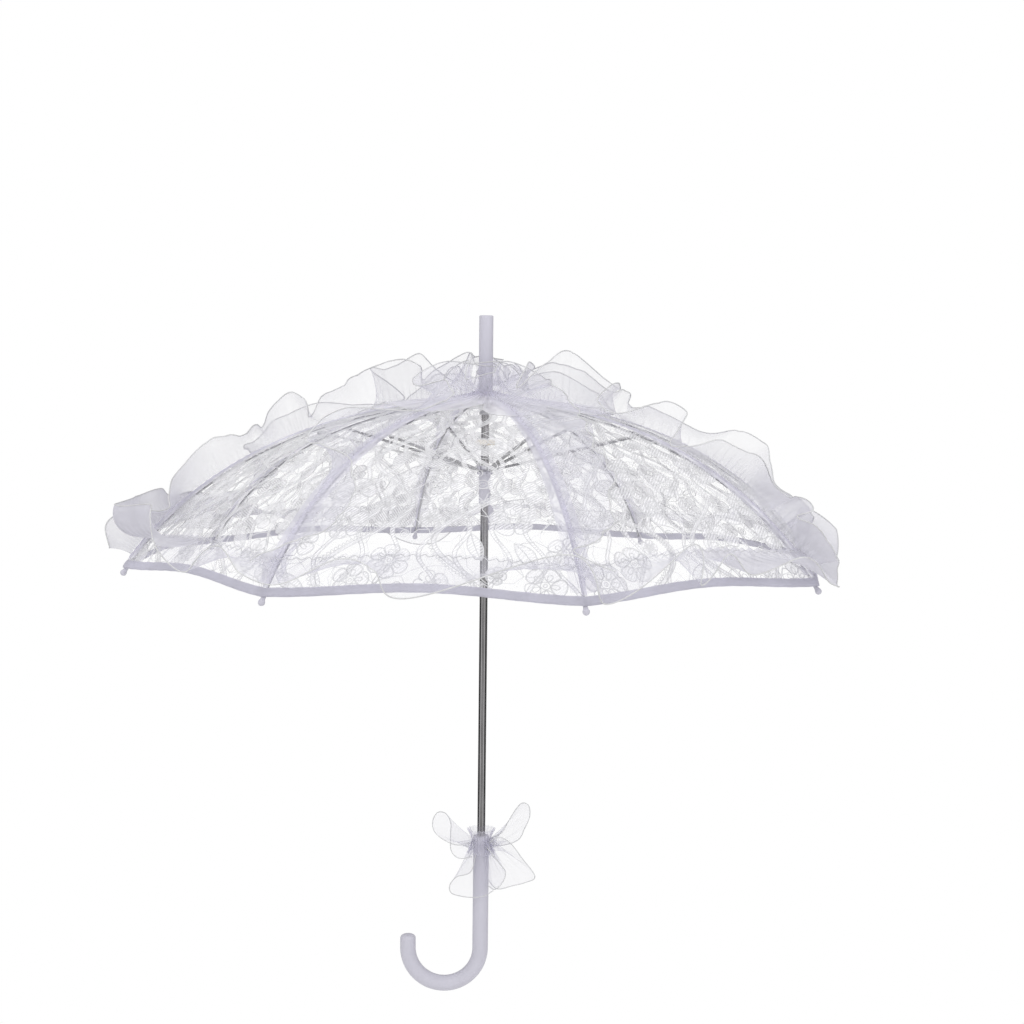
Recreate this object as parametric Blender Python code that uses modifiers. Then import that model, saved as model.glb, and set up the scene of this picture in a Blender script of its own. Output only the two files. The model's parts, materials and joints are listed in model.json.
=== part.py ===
"""A lace parasol with eight ribs, open, with its shaft upright.

Metres, +Z up. The origin is in the middle of the handle's grip, on the shaft's axis, and the hook opens
towards -X. Ribs are numbered anticlockwise seen from above, from the one just past +X.
"""

from math import atan2, cos, hypot, pi, radians, sin

import bmesh
import bpy
from mathutils import Matrix, Vector

# ---- gaps and tolerances ----
GAP = 0.0003
MERGE = 0.00001
OVERSHOOT = 0.004

# ---- shaft, ferrule and handle ----
SHAFT_RADIUS = 0.004
SHAFT_BORE = 0.0033
FLUTES = 12
FLUTE_DEPTH = 0.0003
SHAFT_BOTTOM = 0.0093
SHAFT_TOP = 0.5455
RUNNING_BORE = 0.0043
FERRULE_RADIUS = 0.007
FERRULE_TOP = 0.574
GRIP_RADIUS = 0.0079
GRIP_TOP = 0.049
HOOK_CENTRE_Z = -0.0674
HOOK_RADIUS = 0.0368
HOOK_END_Z = -0.054
SOCKET_BOTTOM = 0.009

# ---- crown ----
RIB_COUNT = 8
RIB_PHASE = radians(14.5)
PANEL_HALF = pi / RIB_COUNT
PIVOT_RADIUS = 0.008
PIVOT_Z = 0.488
PIVOT_WIRE = 0.0005
NOTCH_RADIUS = 0.010
NOTCH_TOP = 0.4925
NOTCH_BOTTOM = 0.4755
STOP_RING_Z = 0.448
STOP_RING_RADIUS = 0.0098
STOP_RING_LOBES = 10

# ---- runner and its catch ----
RUNNER_PIVOT_RADIUS = 0.0069
RUNNER_PIVOT_Z = 0.420
HUB_RADIUS = 0.0079
SLEEVE_RADIUS = 0.00575
SLEEVE_BOTTOM = 0.387
CATCH_Z = 0.3765
CATCH_HALF = 0.010
CATCH_REACH = 0.0095
CATCH_THICKNESS = 0.0012

# ---- ribs and stretchers ----
RIB_LENGTH = 0.389
RIB_SLOPE_IN = radians(4)
RIB_SLOPE_GAIN = radians(51)
RIB_SLOPE_POWER = 1.43
RIB_WIRE = 0.001
RIB_STATIONS = 15
RIB_TAIL = 0.004
EYE_RING = 0.0017
EYE_WIRE = 0.0008
JOINT_ARC = 0.162
JOINT_DROP = 0.003
JOINT_RING = 0.0017
JOINT_WIRE = 0.0005
PIN_RADIUS = 0.0005
CHANNEL_INNER = 0.0008
CHANNEL_WALL = 0.0003
CHANNEL_HALF = 0.0011
TONGUE_HALF = 0.0006
TONGUE_LENGTH = 0.010
TONGUE_OVERLAP = 0.006
WEB_CUT_BACK = 0.008

# ---- canopy, ruffles and trim ----
CLOTH_LIFT = 0.0029
CLOTH_THICKNESS = 0.001
CANOPY_START = 0.0045
HEM_BOW = 0.007
ROSETTE_RADIUS = 0.028
ROSETTE_TEETH = 24
RUFFLE_HEIGHT = 0.046
RIM_STITCH_ARC = 0.356
RIM_WIDTH = 0.054
BOW_Z = 0.041
BOW_LEAF_STAND = 0.0019

PARTS = bpy.data.collections.new("lace_parasol")
CUTTERS = bpy.data.collections.new("cutters")


# ---- helpers ----

def start_scene():
    """An empty scene with one collection for the parts and one for the cutters."""
    for obj in list(bpy.data.objects):
        bpy.data.objects.remove(obj, do_unlink=True)
    bpy.context.scene.collection.children.link(PARTS)
    bpy.context.scene.collection.children.link(CUTTERS)


def make_material(name, colour, roughness, metallic=0.0):
    """A Principled material of one colour."""
    material = bpy.data.materials.new(name)
    material.use_nodes = True
    shader = material.node_tree.nodes["Principled BSDF"]
    shader.inputs["Base Color"].default_value = (*colour, 1.0)
    shader.inputs["Roughness"].default_value = roughness
    shader.inputs["Metallic"].default_value = metallic
    return material


def add_object(name, data, material=None, parent=None):
    """An object of its own for a mesh or a curve."""
    obj = bpy.data.objects.new(name, data)
    PARTS.objects.link(obj)
    obj.parent = parent
    if material:
        data.materials.clear()
        data.materials.append(material)
    return obj


def add_empty(name, location, rotation, parent=None):
    """An empty on a joint's axis."""
    empty = bpy.data.objects.new(name, None)
    empty.empty_display_size = 0.01
    empty.location = location
    empty.rotation_euler = rotation
    empty.parent = parent
    PARTS.objects.link(empty)
    return empty


def as_cutter(obj):
    """Hides an object that only shapes others."""
    obj.hide_render = True
    obj.display_type = "WIRE"
    for collection in list(obj.users_collection):
        collection.objects.unlink(obj)
    CUTTERS.objects.link(obj)
    return obj


def boolean(obj, other, operation):
    """Cuts or joins one mesh object with another, exactly."""
    modifier = obj.modifiers.new(operation.lower(), "BOOLEAN")
    modifier.operation = operation
    modifier.solver = "EXACT"
    modifier.object = as_cutter(other)


def baked_mesh(obj):
    """The evaluated mesh of an object with its seams welded. The object and its cutters are removed."""
    bpy.context.view_layer.update()
    mesh = bpy.data.meshes.new_from_object(obj.evaluated_get(bpy.context.evaluated_depsgraph_get()))
    shape = bmesh.new()
    shape.from_mesh(mesh)
    bmesh.ops.remove_doubles(shape, verts=shape.verts, dist=MERGE)
    shape.to_mesh(mesh)
    shape.free()
    used = [m.object for m in obj.modifiers if m.type == "BOOLEAN"]
    for spent in [obj, *used]:
        bpy.data.objects.remove(spent, do_unlink=True)
    return mesh


def turned(name, profile, steps, ring=True):
    """A turned shape. Its profile of (radius, height) points runs down the outer side first."""
    mesh = bpy.data.meshes.new(name)
    edges = [(i, i + 1) for i in range(len(profile) - 1)]
    if ring:
        edges.append((len(profile) - 1, 0))
    mesh.from_pydata([(radius, 0, z) for radius, z in profile], edges, [])
    obj = add_object(name, mesh)
    screw = obj.modifiers.new("turn", "SCREW")
    screw.steps = steps
    screw.render_steps = steps
    screw.use_merge_vertices = True
    screw.merge_threshold = MERGE
    return obj


def wire(name, points, radius, sides=2, closed=False):
    """A round wire along the points, as a curve with filled caps."""
    curve = bpy.data.curves.new(name, "CURVE")
    curve.dimensions = "3D"
    curve.bevel_depth = radius
    curve.bevel_resolution = sides
    curve.use_fill_caps = True
    spline = curve.splines.new("POLY")
    spline.points.add(len(points) - 1)
    for point, place in zip(spline.points, points):
        point.co = (*place, 1.0)
    spline.use_cyclic_u = closed
    return add_object(name, curve)


def plate(name, outlines, thickness):
    """A flat plate in the local XY plane, with any holes given as further outlines."""
    curve = bpy.data.curves.new(name, "CURVE")
    curve.dimensions = "2D"
    curve.fill_mode = "BOTH"
    curve.extrude = thickness / 2
    for outline in outlines:
        spline = curve.splines.new("POLY")
        spline.points.add(len(outline) - 1)
        for point, (x, y) in zip(spline.points, outline):
            point.co = (x, y, 0.0, 1.0)
        spline.use_cyclic_u = True
    return add_object(name, curve)


def solid_from(obj, name, material, parent=None):
    """A part whose mesh is the baked form of a curve or of a modelled object."""
    matrix = obj.matrix_world.copy()
    part = add_object(name, baked_mesh(obj), material, parent)
    part.matrix_world = matrix
    return part


def box_mesh(name, low, high):
    """A box between two corners, from a unit cube."""
    shape = bmesh.new()
    bmesh.ops.create_cube(shape, size=1.0)
    low, high = Vector(low), Vector(high)
    size = high - low
    place = Matrix.Translation((low + high) / 2) @ Matrix.Diagonal((*size, 1.0))
    bmesh.ops.transform(shape, matrix=place, verts=shape.verts)
    mesh = bpy.data.meshes.new(name)
    shape.to_mesh(mesh)
    shape.free()
    return mesh


def cylinder(name, radius, low, high, segments, along_y=False):
    """A cylinder about the Z axis, or about the Y axis, between two places on it."""
    bpy.ops.mesh.primitive_cylinder_add(vertices=segments, radius=radius, depth=high - low)
    obj = bpy.context.object
    obj.name = name
    turn = Matrix.Rotation(-pi / 2, 4, "X") if along_y else Matrix()
    obj.data.transform(turn @ Matrix.Translation((0, 0, (low + high) / 2)))
    return move_to_parts(obj)


def torus(name, ring, thickness, axis_turn, segments=10):
    """A ring of round wire about the origin."""
    bpy.ops.mesh.primitive_torus_add(
        major_radius=ring, minor_radius=thickness, major_segments=segments, minor_segments=5
    )
    obj = bpy.context.object
    obj.name = name
    obj.data.transform(axis_turn)
    return move_to_parts(obj)


def move_to_parts(obj):
    """Takes an object that an operator made into the parts' collection."""
    for collection in list(obj.users_collection):
        collection.objects.unlink(obj)
    PARTS.objects.link(obj)
    return obj


def circle(radius, count):
    """Points of a circle in its own plane."""
    return [(radius * cos(2 * pi * i / count), radius * sin(2 * pi * i / count)) for i in range(count)]


def cloth_shell(name, columns, rows, place, thickness, material, parent=None, closed=False):
    """A thin closed shell over a grid. place gives the point at (column share, row share)."""
    shape = bmesh.new()
    bmesh.ops.create_grid(shape, x_segments=columns, y_segments=rows, size=1.0)
    for vert in shape.verts:
        vert.co = place((vert.co.x + 1) / 2, (vert.co.y + 1) / 2)
    if closed:
        bmesh.ops.remove_doubles(shape, verts=shape.verts, dist=MERGE)
        bmesh.ops.recalc_face_normals(shape, faces=shape.faces)
    mesh = bpy.data.meshes.new(name)
    shape.to_mesh(mesh)
    shape.free()
    obj = add_object(name, mesh, material, parent)
    solidify = obj.modifiers.new("cloth", "SOLIDIFY")
    solidify.thickness = thickness
    solidify.offset = 0.0
    return obj


def smooth_shading():
    """Shades every round piece smooth between sharp edges."""
    for obj in PARTS.objects:
        if obj.type == "MESH":
            obj.data.shade_smooth()
            obj.data.set_sharp_from_angle(angle=radians(35))


# ---- the ribs' curve, shared by ribs, canopy and ruffles ----

def rib_point(arc):
    """(distance out, height, slope down) on a rib's centre line, arc metres from its pivot."""
    steps = 100
    out = height = 0.0
    for i in range(steps):
        slope = rib_slope(arc * (i + 0.5) / steps)
        out += arc / steps * cos(slope)
        height -= arc / steps * sin(slope)
    return out, height, rib_slope(arc)


def rib_slope(arc):
    """The rib's slope below the horizontal, which grows towards its tip."""
    share = max(arc, 0.0) / RIB_LENGTH
    return RIB_SLOPE_IN + RIB_SLOPE_GAIN * min(share, 1.0) ** RIB_SLOPE_POWER


def above_rib(arc, lift):
    """A point on the normal of the rib's centre line, lift metres above it."""
    out, height, slope = rib_point(arc)
    return out + lift * sin(slope), height + lift * cos(slope)


def canopy_point(arc, side, lift, edge_gap):
    """A point of a gore in its rib's frame. side runs from -1 to 1 between the two mid-panel lines."""
    out, height = above_rib(arc, lift)
    radius = PIVOT_RADIUS + out
    share = abs(side)
    across = radius * sin(PANEL_HALF) * share - edge_gap * share
    bow = HEM_BOW * (arc / RIB_LENGTH) ** 2 * sin(pi / 2 * share) ** 2
    x = radius - across * sin(PANEL_HALF) - PIVOT_RADIUS
    y = across * cos(PANEL_HALF)
    return Vector((x, y if side >= 0 else -y, height + bow))


# ---- pieces on the shaft ----

def make_shaft(material):
    """The fluted tube, with the catch's window in its +X side."""
    count = FLUTES * 4
    outer = []
    for i in range(count):
        angle = 2 * pi * i / count
        radius = SHAFT_RADIUS - FLUTE_DEPTH / 2 * (1 - cos(FLUTES * angle))
        outer.append((radius * cos(angle), radius * sin(angle)))
    tube = plate("shaft_tube", [outer, circle(SHAFT_BORE, 24)], SHAFT_TOP - SHAFT_BOTTOM)
    tube.location.z = (SHAFT_TOP + SHAFT_BOTTOM) / 2
    bpy.context.view_layer.update()
    shaft = solid_from(tube, "shaft", material)
    half_width = CATCH_THICKNESS / 2 + GAP
    low = (SHAFT_BORE / 2, -half_width, CATCH_Z - CATCH_HALF - GAP)
    high = (SHAFT_RADIUS + OVERSHOOT, half_width, CATCH_Z + CATCH_HALF + GAP)
    window = add_object("catch_window", box_mesh("catch_window", low, high))
    boolean(shaft, window, "DIFFERENCE")


def make_ferrule(material):
    """The plastic tube on top, closed and slightly rounded at its top."""
    edge = 0.0012
    bore_top = SHAFT_TOP + GAP
    foot = NOTCH_TOP + GAP
    profile = [
        (0, FERRULE_TOP),
        (FERRULE_RADIUS - edge, FERRULE_TOP),
        (FERRULE_RADIUS - edge * 0.3, FERRULE_TOP - edge * 0.3),
        (FERRULE_RADIUS, FERRULE_TOP - edge),
        (FERRULE_RADIUS, foot),
        (RUNNING_BORE, foot),
        (RUNNING_BORE, bore_top),
        (0, bore_top),
    ]
    turned("ferrule", profile, 24, ring=False).data.materials.append(material)


def spool_profile(outer, core, groove_z, groove_half, flange, neck, top, bottom):
    """A bored spool: two flanges with a groove between them, over a thinner neck."""
    edge = 0.0004
    return [
        (outer - edge, top),
        (outer, top - edge),
        (outer, groove_z + groove_half),
        (core, groove_z + groove_half),
        (core, groove_z - groove_half),
        (outer, groove_z - groove_half),
        (outer, groove_z - groove_half - flange + edge),
        (outer - edge, groove_z - groove_half - flange),
        (neck, groove_z - groove_half - flange),
        (neck, bottom),
        (RUNNING_BORE, bottom),
        (RUNNING_BORE, top),
    ]


def cut_rib_slots(obj, inner, outer, half_width, low, high):
    """Cuts one radial slot for each rib through a spool's flanges."""
    for k in range(RIB_COUNT):
        slot = box_mesh(f"{obj.name}_slot_{k + 1}", (inner, -half_width, low), (outer, half_width, high))
        slot.transform(Matrix.Rotation(rib_angle(k), 4, "Z"))
        boolean(obj, add_object(slot.name, slot), "DIFFERENCE")


def make_top_notch(material):
    """The slotted plastic crown that holds the ribs' wire."""
    flange, groove = 0.0028, 0.0017
    core, neck, slot_in = 0.0066, 0.0060, 0.0050
    profile = spool_profile(NOTCH_RADIUS, core, PIVOT_Z, groove, flange, neck, NOTCH_TOP, NOTCH_BOTTOM)
    notch = turned("top_notch", profile, 24)
    notch.data.materials.append(material)
    slot_low = PIVOT_Z - groove - flange - GAP
    half_width = RIB_WIRE + GAP
    cut_rib_slots(notch, slot_in, NOTCH_RADIUS + OVERSHOOT, half_width, slot_low, NOTCH_TOP + OVERSHOOT)


def make_ring_wire(name, radius, z, material):
    """A closed ring of wire that ribs or stretchers are threaded on."""
    points = [(x, y, z) for x, y in circle(radius, 24)]
    solid_from(wire(name + "_route", points, PIVOT_WIRE, sides=1, closed=True), name, material)


def make_stop_ring(material):
    """The scalloped ring fixed on the shaft under the crown."""
    height = 0.005
    scallop = 0.0007
    count = STOP_RING_LOBES * 6
    outer = []
    for i in range(count):
        angle = 2 * pi * i / count
        radius = STOP_RING_RADIUS - scallop * (1 - abs(cos(STOP_RING_LOBES * angle / 2)))
        outer.append((radius * cos(angle), radius * sin(angle)))
    ring = plate("stop_ring_outline", [outer, circle(RUNNING_BORE, 24)], height)
    ring.location.z = STOP_RING_Z
    bpy.context.view_layer.update()
    solid_from(ring, "stop_ring", material)


def make_handle(material):
    """The J-shaped handle, with a socket for the shaft in its top."""
    arc_steps = 14
    points = [(0, 0, GRIP_TOP), (0, 0, 0), (0, 0, HOOK_CENTRE_Z)]
    for i in range(1, arc_steps + 1):
        angle = -pi * i / arc_steps
        x = -HOOK_RADIUS + HOOK_RADIUS * cos(angle)
        points.append((x, 0, HOOK_CENTRE_Z + HOOK_RADIUS * sin(angle)))
    points.append((-2 * HOOK_RADIUS, 0, HOOK_END_Z))
    handle = solid_from(wire("handle_route", points, GRIP_RADIUS, sides=6), "handle", material)
    socket = cylinder("handle_socket", RUNNING_BORE, SOCKET_BOTTOM, GRIP_TOP + OVERSHOOT, 24)
    boolean(handle, socket, "DIFFERENCE")


def make_runner(material):
    """The sliding runner: a slotted hub for the stretchers' wire, over a long sleeve."""
    flange, groove = 0.0028, 0.0012
    core, slot_in = 0.0061, 0.0060
    top = RUNNER_PIVOT_Z + 0.0045
    profile = spool_profile(
        HUB_RADIUS, core, RUNNER_PIVOT_Z, groove, flange, SLEEVE_RADIUS, top, SLEEVE_BOTTOM
    )
    runner = turned("runner", profile, 24)
    runner.data.materials.append(material)
    slot_low = RUNNER_PIVOT_Z - groove - flange - GAP
    half_width = TONGUE_HALF + GAP
    cut_rib_slots(runner, slot_in, HUB_RADIUS + OVERSHOOT, half_width, slot_low, top + OVERSHOOT)


def make_spring_catch(material):
    """The half-moon button that holds the runner up, with a shoulder inside the shaft."""
    shoulder_in, shoulder_out, shoulder_reach = 0.0023, 0.0029, 0.0014
    foot = 0.0034
    outline = [
        (shoulder_out, CATCH_Z + CATCH_HALF),
        (shoulder_out, CATCH_Z + CATCH_HALF + shoulder_reach),
        (shoulder_in, CATCH_Z + CATCH_HALF + shoulder_reach),
        (shoulder_in, CATCH_Z - CATCH_HALF - shoulder_reach),
        (shoulder_out, CATCH_Z - CATCH_HALF - shoulder_reach),
        (shoulder_out, CATCH_Z - CATCH_HALF),
    ]
    moon_steps = 12
    for i in range(moon_steps + 1):
        angle = pi * i / moon_steps
        outline.append((foot + (CATCH_REACH - foot) * sin(angle), CATCH_Z - CATCH_HALF * cos(angle)))
    moon = plate("catch_outline", [outline], CATCH_THICKNESS)
    moon.rotation_euler.x = pi / 2
    bpy.context.view_layer.update()
    solid_from(moon, "spring_catch", material)


# ---- one rib and what it carries ----

def rib_angle(k):
    """The direction of rib k about +Z."""
    return RIB_PHASE + k * 2 * pi / RIB_COUNT


def joint_point():
    """The stretcher's pivot in its rib's frame: a little under the wire."""
    return above_rib(JOINT_ARC, -JOINT_DROP)


def stretcher_run():
    """(length, slope) from the runner's wire up to the pivot on the rib."""
    out, height = joint_point()
    across = PIVOT_RADIUS + out - RUNNER_PIVOT_RADIUS
    rise = PIVOT_Z + height - RUNNER_PIVOT_Z
    return hypot(across, rise), atan2(rise, across)


def rib_mesh():
    """A steel wire with an eye at its inner end and a small ring for the stretcher."""
    start = EYE_RING - 0.0002
    points = []
    for i in range(RIB_STATIONS):
        arc = start + (RIB_LENGTH + RIB_TAIL - start) * i / (RIB_STATIONS - 1)
        out, height, _ = rib_point(arc)
        points.append((out, 0, height))
    rib = solid_from(wire("rib_route", points, RIB_WIRE, sides=1), "rib_pattern", None)
    lie_flat = Matrix.Rotation(pi / 2, 4, "X")
    boolean(rib, torus("rib_eye", EYE_RING, EYE_WIRE, lie_flat), "UNION")
    out, height = joint_point()
    place = Matrix.Translation((out, 0, height)) @ lie_flat
    boolean(rib, torus("rib_joint_ring", JOINT_RING, JOINT_WIRE, place), "UNION")
    return baked_mesh(rib)


def stretcher_mesh():
    """A U-channel that opens upwards, from its pivot at the origin in along -X, with a thin tongue."""
    length, _ = stretcher_run()
    outer = CHANNEL_INNER + CHANNEL_WALL
    web_top = -CHANNEL_HALF + CHANNEL_WALL
    section = [
        (-outer, -CHANNEL_HALF),
        (outer, -CHANNEL_HALF),
        (outer, CHANNEL_HALF),
        (CHANNEL_INNER, CHANNEL_HALF),
        (CHANNEL_INNER, web_top),
        (-CHANNEL_INNER, web_top),
        (-CHANNEL_INNER, CHANNEL_HALF),
        (-outer, CHANNEL_HALF),
    ]
    run = length - TONGUE_LENGTH + CHANNEL_HALF
    channel = plate("channel_section", [section], run)
    channel.rotation_euler = (pi / 2, 0, pi / 2)
    channel.location.x = CHANNEL_HALF - run / 2
    bpy.context.view_layer.update()
    channel = solid_from(channel, "stretcher_pattern", None)
    low = (-WEB_CUT_BACK, -CHANNEL_INNER + GAP / 10, -CHANNEL_HALF - GAP)
    high = (OVERSHOOT, CHANNEL_INNER - GAP / 10, CHANNEL_HALF + GAP)
    boolean(channel, add_object("web_cut", box_mesh("web_cut", low, high)), "DIFFERENCE")
    hole = cylinder("pin_holes", PIN_RADIUS + GAP, -OVERSHOOT, OVERSHOOT, 12, along_y=True)
    boolean(channel, hole, "DIFFERENCE")
    place = channel.matrix_world.copy()
    tongue_in = -length + PIVOT_WIRE + 1.3 * GAP
    low = (tongue_in, -TONGUE_HALF, -CHANNEL_HALF + CHANNEL_WALL / 2)
    high = (-length + TONGUE_LENGTH + TONGUE_OVERLAP, TONGUE_HALF, CHANNEL_HALF / 2)
    boolean(channel, add_object("tongue", box_mesh("tongue", low, high)), "UNION")
    mesh = baked_mesh(channel)
    mesh.transform(place)
    return mesh


def rivet_mesh():
    """A pin across the channel with a low head on each side, about the origin and along Y."""
    head, rim, dome = 0.0011, 0.0002, 0.0005
    head_in = CHANNEL_INNER + CHANNEL_WALL + GAP
    profile = [
        (0, head_in + dome),
        (head, head_in + rim),
        (head, head_in),
        (PIN_RADIUS, head_in),
        (PIN_RADIUS, -head_in),
        (head, -head_in),
        (head, -head_in - rim),
        (0, -head_in - dome),
    ]
    rivet = turned("rivet_pattern", profile, 8, ring=False)
    mesh = baked_mesh(rivet)
    mesh.transform(Matrix.Rotation(-pi / 2, 4, "X"))
    return mesh


def tip_mesh():
    """The plastic bead on a rib's end, along +Z, bored for the wire."""
    bead, neck, bore = 0.0031, 0.0019, RIB_WIRE + GAP
    bead_z, bore_end, mouth = 0.0085, RIB_TAIL + 0.0005, -0.001
    sweep, steps = radians(132), 5
    profile = [(0, bead_z + bead)]
    for i in range(1, steps + 1):
        angle = pi / 2 - i * sweep / steps
        profile.append((bead * cos(angle), bead_z + bead * sin(angle)))
    profile += [(neck, bore_end), (neck, mouth), (bore, mouth), (bore, bore_end), (0, bore_end)]
    tip = turned("tip_pattern", profile, 10, ring=False)
    return baked_mesh(tip)


def make_gore(k, material, parent):
    """One rib's share of the lace, out to the middle of the panel on each side."""
    def place(across, along):
        arc = CANOPY_START + (RIB_LENGTH - CANOPY_START) * along
        return canopy_point(arc, 2 * across - 1, CLOTH_LIFT + CLOTH_THICKNESS / 2, GAP)

    cloth_shell(f"lace_gore_{k + 1}", 4, 8, place, CLOTH_THICKNESS, material, parent)


def make_ruffle(k, material, parent):
    """The standing ruffle along one seam, with that rib's length of the rim ruffle."""
    floor = CLOTH_LIFT + CLOTH_THICKNESS + 0.0012
    first, last = 0.048, 0.365
    waves, sway, foot_sway = 3.5, 0.012, 0.002

    def standing(along, up):
        arc = first + (last - first) * along
        out, height = above_rib(arc, floor + RUFFLE_HEIGHT * up)
        shift = (foot_sway + (sway - foot_sway) * up) * sin(2 * pi * waves * along + k)
        return Vector((out, shift, height))

    def rim(across, down):
        side = 1.94 * across - 0.97
        stitch = canopy_point(RIM_STITCH_ARC, side, floor, 0.001)
        flare = radians(26) + radians(16) * sin(3 * pi * side + k)
        turn = atan2(stitch.y, PIVOT_RADIUS + stitch.x)
        reach = RIM_WIDTH * down * cos(flare)
        drop = RIM_WIDTH * down * sin(flare)
        return stitch + Vector((reach * cos(turn), reach * sin(turn), 0.0015 * (1 - down) - drop))

    strip = cloth_shell(f"ruffle_{k + 1}", 14, 1, standing, CLOTH_THICKNESS, material, parent)
    band = cloth_shell(f"rim_band_{k + 1}", 10, 2, rim, CLOTH_THICKNESS, None, parent)
    boolean(strip, band, "UNION")


def make_ribs(steel, plastic, lace, organza):
    """Every rib with its stretcher, rivet, bead, lace gore and ruffle, each on its own pivot."""
    rib, stretcher, rivet, tip = rib_mesh(), stretcher_mesh(), rivet_mesh(), tip_mesh()
    out, height = joint_point()
    _, rise = stretcher_run()
    tip_out, tip_height, tip_slope = rib_point(RIB_LENGTH)
    for k in range(RIB_COUNT):
        angle = rib_angle(k)
        place = (PIVOT_RADIUS * cos(angle), PIVOT_RADIUS * sin(angle), PIVOT_Z)
        pivot = add_empty(f"rib_pivot_{k + 1}", place, (0, 0, angle))
        joint = add_empty(f"stretcher_pivot_{k + 1}", (out, 0, height), (0, -rise, 0), pivot)
        add_object(f"rib_{k + 1}", rib, steel, pivot)
        add_object(f"stretcher_{k + 1}", stretcher, steel, joint)
        pin = add_object(f"rivet_{k + 1}", rivet, steel, pivot)
        pin.location = (out, 0, height)
        bead = add_object(f"rib_tip_{k + 1}", tip, plastic, pivot)
        bead.location = (tip_out, 0, tip_height)
        bead.rotation_euler.y = pi / 2 + tip_slope
        make_gore(k, lace, pivot)
        make_ruffle(k, organza, pivot)


# ---- trim ----

def make_inner_rosette(material):
    """The pinked disc of cloth between the ribs and the lace."""
    inner, thickness = NOTCH_RADIUS + 0.0008, 0.0007
    lift = RIB_WIRE + GAP + thickness / 2
    columns = 2 * ROSETTE_TEETH

    def place(around, outward):
        column = round(around * columns)
        outer = ROSETTE_RADIUS - (0.0024 if column % 2 else 0.0)
        radius = inner + (outer - inner) * outward
        angle = 2 * pi * around
        _, height = above_rib(radius - PIVOT_RADIUS, lift)
        return Vector((radius * cos(angle), radius * sin(angle), PIVOT_Z + height))

    cloth_shell("inner_rosette", columns, 1, place, thickness, material, closed=True)


def make_crown_ruffle(material):
    """The gathered collar of organza around the ferrule's foot."""
    waves, columns = 7, 28
    foot_radius, foot_z = FERRULE_RADIUS + 0.0015, PIVOT_Z + 0.0085
    reach, rise, wobble = 0.034, 0.030, 0.010

    def place(around, up):
        angle = 2 * pi * around
        wave = sin(waves * angle)
        radius = foot_radius + reach * up - 0.5 * wobble * wave * up
        z = foot_z + rise * up ** 1.3 + wobble * wave * up
        return Vector((radius * cos(angle), radius * sin(angle), z))

    cloth_shell("crown_ruffle", columns, 2, place, CLOTH_THICKNESS, material, closed=True)


def bow_leaf(name, tip_x, rise, width, thickness):
    """One loop or tail of the bow: a flat leaf from the knot to its tip, in front of the handle."""
    length = hypot(tip_x, rise)
    root_half, steps = 0.002, 7
    outline = []
    for side in (1, -1):
        for i in range(steps):
            share = i / steps if side == 1 else 1 - i / steps
            outline.append((length * share, side * (root_half + width / 2 * sin(pi * share ** 1.4))))
    leaf = plate(name, [outline], thickness)
    turn = Matrix.Rotation(pi / 2, 4, "X") @ Matrix.Rotation(atan2(rise, tip_x), 4, "Z")
    leaf.matrix_world = Matrix.Translation((0, -GRIP_RADIUS - BOW_LEAF_STAND, BOW_Z)) @ turn
    bpy.context.view_layer.update()
    solid = solid_from(leaf, name, None)
    solid.data.transform(solid.matrix_world)
    solid.matrix_world = Matrix()
    return solid


def make_handle_bow(material):
    """The organza bow: a band round the top of the grip with its loops and tails."""
    band_half, inner, outer = 0.0065, GRIP_RADIUS + 0.0004, GRIP_RADIUS + 0.0022
    profile = [
        (outer, BOW_Z + band_half),
        (outer, BOW_Z - band_half),
        (inner, BOW_Z - band_half),
        (inner, BOW_Z + band_half),
    ]
    band = turned("handle_bow", profile, 20)
    band.data.materials.append(material)
    thinnest, step = 0.0016, 0.0002
    leaves = [
        (-0.052, 0.027, 0.034),
        (0.043, 0.042, 0.026),
        (0.051, -0.039, 0.034),
        (-0.031, -0.047, 0.028),
        (0.008, -0.050, 0.020),
    ]
    for i, (tip_x, rise, width) in enumerate(leaves):
        leaf = bow_leaf(f"bow_leaf_{i + 1}", tip_x, rise, width, thinnest + step * i)
        boolean(band, leaf, "UNION")


def main():
    """Builds the whole parasol."""
    start_scene()
    steel = make_material("steel", (0.42, 0.42, 0.44), 0.28, 1.0)
    wire_steel = make_material("wire_steel", (0.35, 0.35, 0.37), 0.35, 1.0)
    plastic = make_material("white_plastic", (0.80, 0.79, 0.84), 0.4)
    clear = make_material("clear_plastic", (0.78, 0.78, 0.78), 0.35)
    beige = make_material("beige_plastic", (0.70, 0.62, 0.48), 0.5)
    lace = make_material("lace", (0.82, 0.81, 0.87), 0.8)
    organza = make_material("organza", (0.84, 0.83, 0.90), 0.6)
    make_shaft(steel)
    make_ferrule(plastic)
    make_top_notch(clear)
    make_ring_wire("notch_wire", PIVOT_RADIUS, PIVOT_Z, wire_steel)
    make_stop_ring(beige)
    make_handle(plastic)
    make_runner(plastic)
    make_ring_wire("runner_wire", RUNNER_PIVOT_RADIUS, RUNNER_PIVOT_Z, wire_steel)
    make_spring_catch(plastic)
    make_ribs(wire_steel, plastic, lace, organza)
    make_inner_rosette(lace)
    make_crown_ruffle(organza)
    make_handle_bow(organza)
    smooth_shading()


main()
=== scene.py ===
import json
import random
from math import atan2, ceil, cos, hypot, pi, radians, sin, sqrt

import bpy
import numpy as np
from mathutils import Matrix, Vector


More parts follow.
